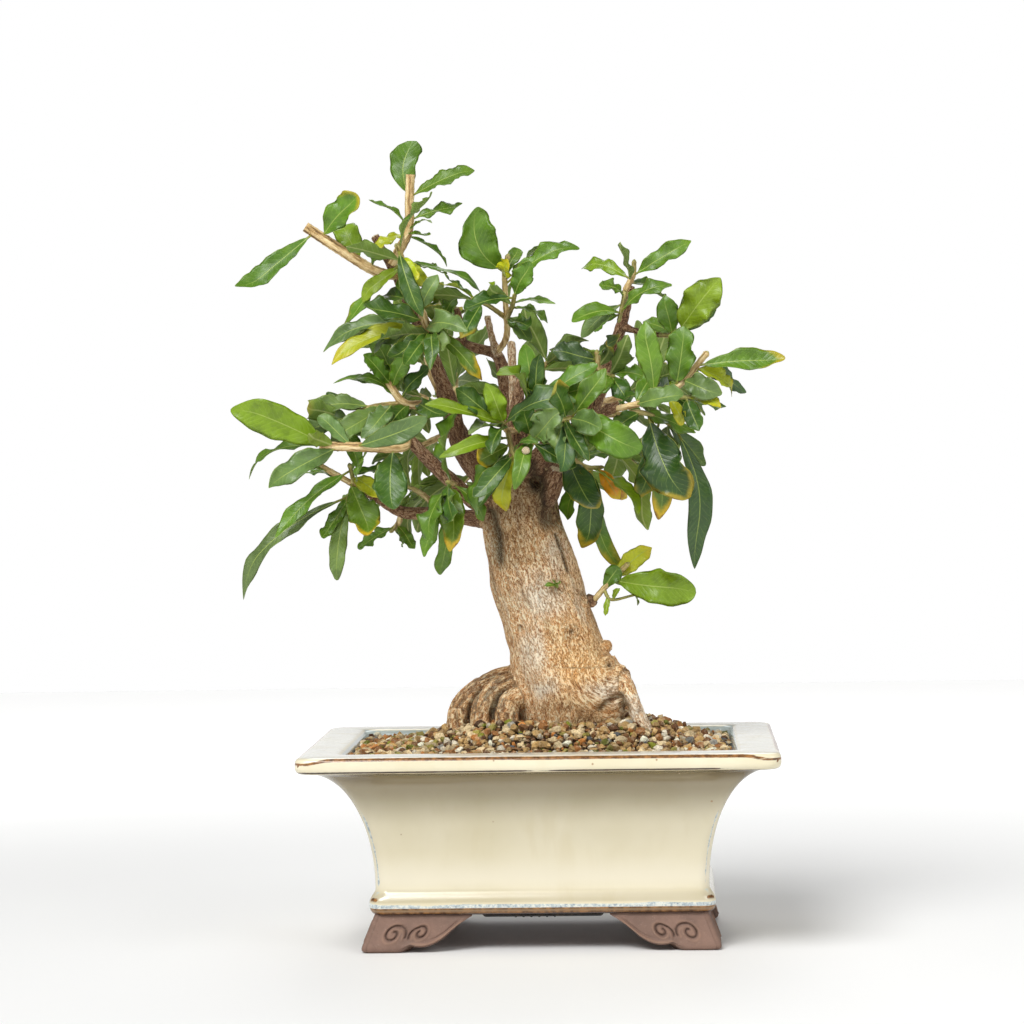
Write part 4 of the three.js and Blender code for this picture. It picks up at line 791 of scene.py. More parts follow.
trunk = dict(
    voxel=1.18, turns=84, favour=3.0, legWider=1.25, step=2.0, sides=20, valley=2.4, valleyShade=0.95,
    knobs=[((45, -8, 165), (13.5, 14.5, 12.5)), ((41, -4, 188), (4.3, 4, 4))],  # place and half sizes
    cutStubs=("frontStub", "centrePale", "redStub", "darkStub", "darkStub2", "dead"),
    tanStubs=("redStub", "centrePale"),
    stubLonger=[(-6, -56, 316.8, 2.75), (-5.6, -69, 316.6, 2.8)],  # one cut stub comes out between the front leaves
    knots=[  # place across and up on the front, reach, how deep (out where below zero) and how dark the painted shade in and round it is
        (7, 249, 2.2, -1.2, 0), (11.4, 227.8, 2.2, 1.6, 1), (20.5, 199, 2.2, 1.4, 0.9), (-13, 202, 0.9, 1, 1),
        (44.5, 177.5, 1.7, 2.4, 1), (-6, 283, 1.6, -0.7, 0), (-2, 276, 1.4, -0.6, 0), (24, 184, 3.2, -0.8, 0),
    ],
    buds=[  # the same for buds on the sides, with the place in depth
        (31, -6, 221, 2.8, -2.4, 0.9), (35, -7, 213, 2.4, -2.0, 0.5), (-35, -10, 205, 2.4, -1.6, 0.0),
    ],
    grooves=[  # points across and up on the front, half width, depth and how dark the painted shade in it is
        ([(-5, 306), (1, 288), (6, 271)], 5.0, 3.4, 0.8),
        ([(-31, 276), (-28, 262), (-27, 246)], 4.0, 3.6, 0.95),
        ([(11, 262), (15, 250), (18, 238)], 1.1, 1.5, 0.9),
        ([(38, 149), (46, 155), (51, 157), (55, 148)], 2.2, 2.2, 0.7),
        ([(58, 176), (50, 169), (43, 167)], 1.6, 0.9, 0.3),
    ],
    patches=[  # place across and up, half sizes, and how pale, dark and golden; the dark patches high on the left are painted shade
        (3, 223, 17, 12, 0.9, 0, 0), (14, 247, 8, 16, 0.7, 0, 0), (-5, 192, 7, 22, 0.8, 0, 0),
        (1, 166, 8, 8, 1.0, 0, 0), (42, 160, 15, 6, 0.9, 0, 0), (-12, 264, 13, 16, 0, 0.5, 0),
        (-12, 246, 17, 8, 0, 0.55, 0), (11, 152, 12, 7, 0, 0.55, 0), (20, 136, 36, 7, 0, 0.5, 0.5),
        (26, 180, 24, 30, 0, 0, 1.0), (24, 240, 7, 30, 0.2, 0, 0.8), (50, 168, 12, 12, 0, 0, 0.9),
    ],
    swirl=(46, 176, 22, 46),  # middle of the turned wrinkles, and where they start to fade and end
)


def makeTrunk():
    # level rings: half widths drawn smoothly through the list, swollen by five and three flutes round them
    rings = curveThrough([row[:3] + (0.0,) for row in trunkRings], 2.0)
    _, _, level, wide, deep = np.array(trunkRings, float).T
    halfX, halfY = (np.interp(rings[:, 2:3], level, half) for half in (wide, deep))
    turn, z = turns(trunk["turns"]), rings[:, 2:3]
    depth = 0.025 + 0.05 * np.maximum(0, (170 - z) / 60)
    swell = 1 + depth * np.sin(5 * turn + z * 0.03) + 0.02 * np.sin(3 * turn + z * 0.11)
    x = rings[:, :1] + halfX * swell * np.cos(turn)
    return ringSkin(together(x, rings[:, 1:2] + halfY * swell * np.sin(turn), z))


def makeKnob(at, size):
    # a lumpy ball: sine and cosine of two angles, swollen by noise
    a, b = np.meshgrid(np.linspace(0.02, np.pi - 0.02, 24), turns(32), indexing="ij")
    ball = together(np.sin(a) * np.cos(b), np.sin(a) * np.sin(b), -np.cos(a))
    swell = 1 + 0.09 * noise(ball.reshape(-1, 3) * 10, 7, 2).reshape(a.shape)
    return ringSkin(np.array(at) + ball * swell[..., None] * np.array(size))


def makeWood():
    # trunk, roots, burl and branches joined into one skin, then wrinkled along the grain
    parts = [makeTrunk()] + [makeKnob(at, halves) for at, halves in trunk["knobs"]]
    branches["frontStub"] += trunk["stubLonger"]
    lines = list(roots.values()) + list(branches.values())
    for line in lines:
        smooth = curveThrough(line, trunk["step"])
        if line is roots["leg"]:
            smooth[:, 3] *= trunk["legWider"]
        parts.append(tube(smooth, trunk["sides"]))
    mesh = settled(meshFrom("wood", *gather(parts)), "REMESH", mode="VOXEL", voxel_size=trunk["voxel"] * metre,
                   adaptivity=0.0, use_smooth_shade=True)
    trunkLine = [(x, y, z, (a + b) / 2) for x, y, z, a, b in trunkRings]
    p = pointsOf(mesh)
    z = p[:, 2]
    _, grain, radius, which = nearestWood(p, [trunkLine] + lines)
    normals = np.empty(len(p) * 3, dtype=np.float32)
    mesh.vertices.foreach_get("normal", normals)
    n = normals.reshape(-1, 3).astype(float)
    onTrunk = (which == 0).astype(float)
    ribbed = ((which >= 1) & (which <= 3)).astype(float)
    size = ease(radius, 2.5, 12)
    # round the burl the wrinkles turn about it: place is the distance from it and the angle as a length
    turnX, turnZ, near, end = trunk["swirl"]
    far = np.hypot(p[:, 0] - turnX, p[:, 2] - turnZ)
    fold = onTrunk * (1 - ease(far, near, end)) * ease(p[:, 0], 4, 22) * (1 - ease(p[:, 2], 172, 190))
    swirl = together(far, p[:, 1], 16 * np.arctan2(p[:, 2] - turnZ, p[:, 0] - turnX))
    streak = clouds(grain * (1, 1, 0.3), 2.9, 3, 11) * (1 - fold) + clouds(swirl * (1, 0.4, 0.3), 4.2, 2, 14) * fold
    plates = clouds(grain * (1, 1, 0.4), 8.0, 2, 12)
    lumps = clouds(p, 17, 2, 13)
    fissure = np.abs(clouds(grain * (1, 1, 0.11), 4.6, 2, 15))
    crack = (1 - ease(fissure, 0.0, 0.16 + 0.1 * ribbed)) * (1 - 0.7 * fold)
    lift = (0.12 + 0.26 * size) * streak + (0.05 + 0.3 * size) * plates + (0.7 * size + 0.3 * ribbed) * lumps
    lift += 0.4 * fold * streak
    lift -= (0.12 + 0.16 * size + 0.75 * ribbed) * crack
    lift += np.sin(grain[:, 2] * 2 * np.pi / 7.5 + 2 * noise(p, 9, 16)) * (1 - size) * 0.14
    # between the arching roots, where two of them are as near as each other, the skin sinks and is painted black as
    # shade
    two = np.sort(np.stack([farFrom(p, roots[name]) for name in ("rib1", "rib2", "rib3")]), axis=0)
    valley = (1 - ease(two[1] - two[0], 0.6, 4.6)) * (two[1] < 7) * (which < 5) * (1 - ease(z, 160, 168))
    lift -= trunk["valley"] * valley
    dark = trunk["valleyShade"] * valley
    front, flat = 1 - ease(p[:, 1], -2, 8), p[:, [0, 2]]
    # knots and buds sink or swell, and their dents, like the grooves, get painted shade
    for *place, reach, deep, dim in trunk["knots"] + trunk["buds"]:
        where = flat if len(place) == 2 else p
        shown = front if len(place) == 2 else 1
        out = spans(where - place) / reach
        dent = np.exp(-out ** 2 * 1.1) * shown
        lift += -deep * dent + 0.22 * abs(deep) * bell(out - 1.45, 0.4) * shown
        dark = np.maximum(dark, np.maximum(dent, 0.5 * bell(out - 1.9, 0.35) * shown) * dim)
    for line, half, deep, dim in trunk["grooves"]:
        away = farFrom(flat, line) + 0.25 * half * noise(p, 5, 17)
        lift -= deep * bell(away, half) * front
        dark = np.maximum(dark, dim * np.exp(-(away / half) ** 2 * 0.8) * front)
    mesh.vertices.foreach_set("co", ((p + n * lift[:, None] + potMiddle) * metre).astype(np.float32).ravel())
    mesh.update()
    markWood(mesh, p, grain, size, crack, dark, which, swirl=swirl * metre, fold=fold)
    pieceFrom("oldWood", mesh, [makeBark()], ["wood"])


def markWood(mesh, p, grain, size, crack, hollow, which, **more):
    # colour by place: soft round patches on the front, spoilt by noise, and painted shade: darker on the upper
    # trunk under the crown, on the branches and in the hollows
    x, _, z = p.T
    onTrunk, ribbed = (which == 0) * 1.0, (which >= 1) & (which <= 3)
    shares = np.zeros((3, len(p)))
    driftX, driftZ = 6 * noise(grain * (1, 1, 0.4), 10, 21), 7 * noise(p, 12, 25)
    for atX, atZ, halfX, halfZ, *amounts in trunk["patches"]:
        spot = np.exp(-((x - atX + driftX) / halfX) ** 2 - ((z - atZ + driftZ) / halfZ) ** 2) * onTrunk
        shares = np.maximum(shares, np.array(amounts)[:, None] * spot)
    pale = np.maximum(shares[0], 0.5 * ease(clouds(grain * (1, 1, 0.3), 8, 3, 22), 0.3, 0.9))
    pale = np.maximum(pale, (which == 4) * (z < 158) * (0.7 + 0.3 * noise(p, 7, 26))) * (1 - 0.7 * ribbed)
    # painted shade: the upper trunk darker under the crown
    upper = ease(z, 258, 280) * (1 - 0.4 * ease(z, 300, 330)) * onTrunk
    dark = np.maximum(shares[1], 0.8 * upper)
    dark = np.maximum(dark, 0.35 * ribbed * (0.6 + 0.4 * noise(p, 10, 29)))
    dark = np.maximum(dark, 0.4 * ease(clouds(grain * (1, 1, 0.4), 9, 3, 23), 0.35, 0.95))
    numbers = {name: len(roots) + 1 + number for number, name in enumerate(branches)}
    stub = np.isin(which, [numbers[name] for name in trunk["tanStubs"]])
    pale = np.maximum(pale, 0.5 * stub)
    limb = (which > len(roots)) * (1 - 0.8 * stub)
    # the branches darkened as painted shade under the leaves
    dark = np.maximum(dark, 0.7 * limb)
    moss = ribbed * (0.35 + 0.65 * (1 - ease(z, 128, 150))) * ease(noise(p, 8, 24), -0.3, 0.5)
    moss = np.maximum(moss, 0.4 * (z < 142) * onTrunk * ease(noise(p, 7, 28), 0.1, 0.7))
    cut = np.zeros(len(p))
    for name in trunk["cutStubs"]:
        *_, before, last = np.array(branches[name], float)
        along = (p - last[:3]) @ unit(last[:3] - before[:3])
        cut = np.maximum(cut, ease(along, -1.0, -0.5) * (spans(p - last[:3]) < last[3] * 0.95))
    mark(mesh, red=limb, olive=np.clip(moss, 0, 1), pale=np.clip(pale * (1 - 0.8 * dark) * (1 - hollow), 0, 1),
         dark=np.clip(dark, 0, 1), gold=np.clip(shares[2], 0, 1), hollow=np.clip(hollow, 0, 1),
         crack=np.clip(crack * (0.4 - 0.1 * size + 0.5 * ribbed), 0, 1), grain=grain * metre, cut=cut, **more)


barkColours = [  # mark, its share, and its colours from the beds of the wrinkles to their crests
    ("gold", 0.75, (0.39, (136, 82, 34)), (0.47, (222, 162, 90)), (0.58, (250, 212, 150))),
    ("pale", 0.85, (0.38, (140, 108, 76)), (0.45, (224, 200, 166)), (0.54, (250, 240, 222))),
    # dark: random tone, and painted shade on the upper trunk, the branches and high on the left
    ("dark", 0.85, (0.4, (52, 34, 20)), (0.5, (124, 92, 56)), (0.58, (182, 146, 98))),
    ("red", 0.7, (0.4, (58, 34, 24)), (0.5, (122, 78, 56)), (0.6, (176, 134, 104))),
    ("olive", 0.6, (0.41, (66, 56, 26)), (0.5, (142, 124, 70)), (0.6, (196, 180, 120))),
    # painted shade in the hollows: greenish black
    ("hollow", 0.92, (0.42, (26, 22, 14)), (0.58, (74, 66, 42))),
]


def makeBark():
    # tan bark: short wrinkles along the grain with cream crests and brown beds, crossed by a net of fine dark
    # lines, worn pale or golden in patches, darkened as painted shade on the upper trunk and branches, and painted
    # greenish black shade in the hollows
    made = Finish("tanBark", Roughness=0.8)
    along, turned = made.mark("grain", "Vector"), made.mark("swirl", "Vector")
    straight = made.noise(820, 3, 0.6, made.stretched(along, (1, 1, 0.4)), 1.1)
    bent = made.noise(700, 3, 0.6, made.stretched(turned, (1, 0.5, 0.34)), 0.9)
    wrinkles = made.node("Mix", {0: "fold", 2: straight, 3: bent}).outputs[0]
    grains = made.noise(1500, 2, 0.6, made.stretched(along, (1, 1, 0.7)))
    value = made.maths("MULTIPLY_ADD", wrinkles, 0.68, made.times(grains, 0.32))
    value = made.plus(value, made.maths("MULTIPLY_ADD", made.noise(70, 3, 0.6), 0.12, -0.06))
    made.body = made.ramp(value, (0.38, (140, 84, 44)), (0.44, (230, 164, 102)), (0.51, (255, 206, 146)),
                          (0.6, (255, 242, 204)))
    for name, share, *stops in barkColours:
        made.over(made.times(name, share), made.ramp(value, *stops))
    made.over(made.times("crack", made.between(grains, 0.35, 0.6, 0.6, 1.0)), (62, 40, 24))
    net, crest = (made.maths("ABSOLUTE", made.minus(wrinkles, level)) for level in (0.47, 0.57))
    made.over(made.between(net, 0, 0.022, 0.5, 0), (104, 64, 32))
    made.over(made.minus(made.between(crest, 0, 0.022, 0.6, 0), "dark"), (252, 234, 204))
    rings = made.node("TexWave", {"Vector": along, "Scale": 260, "Distortion": 3, "Detail": 3}, wave_type="RINGS",
                      rings_direction="Z").outputs["Fac"]
    made.over("cut", made.mix(rings, (255, 242, 212), (232, 200, 150)))
    height = made.maths("MULTIPLY_ADD", value, 2.4, made.between(net, 0, 0.03, -0.35, 0))
    return made.done(height, 1.0, 1.1, made.between(grains, 0.3, 0.7, 0.7, 0.92))


makeWood()
print("wood is made")


soil = dict(
    edge=123, mound=15.5, middle=(12, 2), reach=(96, 72), shares=(0.55, 1.2), rimFlat=27, levels=46, grit=0.9,
    fall=0.015, sunk=1.2, corner=8.0, outline=dict(parts=(60, 48), corner=6),
    grains=[  # spacing, smallest and largest size, lift above the bed
        (3.5, 2.8, 5.2, 0.5), (6.2, 4.8, 8.4, 1.8),
    ],
    colours=[  # share, colour
        (0.29, (206, 168, 106)), (0.21, (238, 214, 166)), (0.13, (164, 112, 60)), (0.1, (108, 70, 36)),
        (0.07, (212, 140, 68)), (0.08, (250, 240, 214)), (0.06, (170, 158, 76)), (0.04, (132, 136, 34)),
        (0.02, (160, 158, 148)), (0.015, (96, 100, 104)),
    ],
)


def soilHeight(x, y):  # level near the rim, heaped round the trunk by a smooth step, a little lower at the back
    far = np.hypot((x - soil["middle"][0]) / soil["reach"][0], (y - soil["middle"][1]) / soil["reach"][1])
    return soil["edge"] + soil["mound"] * (1 - ease(far, *soil["shares"])) - soil["fall"] * np.maximum(0, y)


def makeSoilBed():
    # inner-wall outlines from the floor up, then the top outline drawn in level by level over the heap
    wall = [(35, 57.1), (43, 54.1)] + [(z, flare(z) + thick) for z, thick in ((66, 8.6), (88, 8.6), (108, 9.6))]
    wall.append((119, 30.9))
    heights, insets = np.array(wall, float).T
    low = outlineRings(heights, insets, np.full(len(wall), soil["corner"]), **soil["outline"])
    top = outlineRings([soil["edge"]], [soil["rimFlat"] + 3.5], [soil["corner"]], **soil["outline"])[0]
    shrink = np.linspace(1, 0.04, soil["levels"])[:, None, None]
    flat = top[None, :, :2] * shrink
    p = np.concatenate([flat, np.zeros(flat.shape[:2] + (1,))], axis=2).reshape(-1, 3)
    p[:, 2] = soilHeight(p[:, 0], p[:, 1]) - soil["sunk"] + soil["grit"] * clouds(p, 7, 2, 31)
    points, faces = ringSkin(np.concatenate([low, p.reshape(flat.shape[:2] + (3,))]))
    return meshFrom("soil", points, faces)


def grainShape():
    # an octahedron with every edge halved and pushed out to a ball: 18 points and 32 triangles
    corners = np.array([(1, 0, 0), (0, 1, 0), (-1, 0, 0), (0, -1, 0), (0, 0, 1), (0, 0, -1)], float)
    sides = [(0, 1, 4), (1, 2, 4), (2, 3, 4), (3, 0, 4), (1, 0, 5), (2, 1, 5), (3, 2, 5), (0, 3, 5)]
    points, faces, halves = list(corners), [], {}

    def half(a, b):
        key = (min(a, b), max(a, b))
        if key not in halves:
            halves[key] = len(points)
            points.append(unit(corners[a] + corners[b]))
        return halves[key]

    for a, b, c in sides:
        ab, bc, ca = half(a, b), half(b, c), half(c, a)
        faces += [(a, ab, ca), (ab, b, bc), (ca, bc, c), (ab, bc, ca)]
    return np.array(points), np.array(faces)


def spun(a, b, angle):  # two places turned about the third
    return a * np.cos(angle) - b * np.sin(angle), a * np.sin(angle) + b * np.cos(angle)


def scatterGrains(spacing, smallest, largest, lift, seed):
    # a jittered lattice of places, each with a size, a turn and its own lumps; those inside the wood fall away
    rng = np.random.default_rng(seed)
    halfX, halfY = (half - soil["rimFlat"] - 2.4 for half in pot["rimHalf"])
    gx, gy = np.meshgrid(np.arange(-halfX, halfX, spacing), np.arange(-halfY, halfY, spacing), indexing="ij")
    spots = together(gx.ravel(), gy.ravel()) + rng.uniform(-0.5, 0.5, (gx.size, 2)) * spacing
    size = rng.uniform(smallest, largest, len(spots)) * rng.uniform(0.75, 1, len(spots))
    inside = np.all(np.abs(spots) < together(halfX, halfY) - size[:, None] / 2, axis=1)
    z = soilHeight(*spots.T) + lift + rng.uniform(-0.5, 0.6, len(spots))
    at = np.column_stack([spots, z])
    lines = [[row[:3] + ((row[3] + row[4]) / 2,) for row in trunkRings]] + list(roots.values())
    keep = inside & (nearestWood(at, lines)[0] > -0.2 * size)
    at, size = at[keep], size[keep]
    count = len(at)
    ball, faces = grainShape()
    lumps = 1 + rng.uniform(-0.28, 0.28, (count, len(ball), 1))
    x, y, z = np.moveaxis(ball * lumps * (rng.uniform(0.62, 1.2, (count, 1, 3)) * np.array([1, 1, 0.85])), 2, 0)
    first, last = rng.uniform(0, 2 * np.pi, (2, count, 1))
    x, y = spun(x, y, first)
    y, z = spun(y, z, rng.uniform(-0.7, 0.7, (count, 1)))
    x, y = spun(x, y, last)
    points = together(x, y, z) * size[:, None, None] / 2 + at[:, None]
    allFaces = faces + (np.arange(count) * len(ball))[:, None, None]
    shares = np.cumsum([share for share, _ in soil["colours"]])
    kinds = np.array([paint(colour)[:3] for _, colour in soil["colours"]])
    kind = np.minimum(np.searchsorted(shares / shares[-1], rng.uniform(0, 1, count)), len(kinds) - 1)
    colour = np.clip(kinds[kind] * rng.uniform(0.5, 1.15, (count, 1)), 0, 1)
    return points.reshape(-1, 3), allFaces.reshape(-1, 3), np.repeat(colour, len(ball), axis=0)


def makeGrit(name, loose):
    # mineral grains: each takes its own colour, mottled and pitted by fine noise
    made = Finish(name, Roughness=0.88)
    fine, broad = made.noise(900, 4, 0.75), made.noise(320, 3, 0.6)
    if loose:
        own = made.mark("grainColour", "Color")
    else:
        # the bed: dark soil brown, darkened further as painted shade in the gaps between the grains
        own = made.ramp(made.noise(150, 5, 0.8), (0.3, (44, 28, 16)), (0.55, (92, 64, 38)), (0.75, (140, 106, 66)))
    made.body = made.mix(made.between(fine, 0.3, 0.65, 0.55, 0), own, (84, 58, 38), "MULTIPLY")
    made.over(made.between(broad, 0.5, 0.75, 0, 0.35), (236, 218, 186))
    return made.done(made.plus(fine, broad), 0.9, 0.8)


twigs = dict(seed=5, tries=26, spread=(108, 78), colour=(150, 112, 72))


def makeTwigs():
    # short bent twigs and root ends lying on the grit
    rng, run, parts = np.random.default_rng(twigs["seed"]), np.linspace(-0.5, 0.5, 9), []
    for _ in range(twigs["tries"]):
        x, y = (rng.uniform(-half, half) for half in twigs["spread"])
        if abs(x - 21) < 44 and abs(y) < 40:  # clear of the trunk
            continue
        turn, length, radius = rng.uniform(0, np.pi), rng.uniform(6, 17), rng.uniform(0.35, 0.8)
        bow = (run ** 2 - 0.25) * length * rng.uniform(-0.5, 0.5)
        px, py = spun(run * length, bow, turn)
        px, py = np.clip(x + px, -115, 115), np.clip(y + py, -83, 83)
        z = soilHeight(px, py) + 2.2 + 0.5 * np.sin(run * 9)
        parts.append(tube(together(px, py, z, radius * (1.1 - np.abs(run) * 0.8)), 6))
    mesh = meshFrom("twigs", *gather(parts))
    mark(mesh, grainColour=np.tile(paint(twigs["colour"])[:3], (len(mesh.vertices), 1)))
    return mesh


looseGrit = makeGrit("looseGrit", True)
pieceFrom("soilBed", makeSoilBed(), [makeGrit("soilBed", False)], ["soil"])
for number, (spacing, smallest, largest, lift) in enumerate(soil["grains"]):
    points, faces, colour = scatterGrains(spacing, smallest, largest, lift, 40 + number)
    mesh = meshFrom("grains", points, faces, smooth=False)
    mark(mesh, grainColour=colour)
    pieceFrom(f"gritGrains_{number + 1}", mesh, [looseGrit])
    print("grains", len(colour) // len(grainShape()[0]))
pieceFrom("looseTwigs", makeTwigs(), [looseGrit])
print("soil is made")


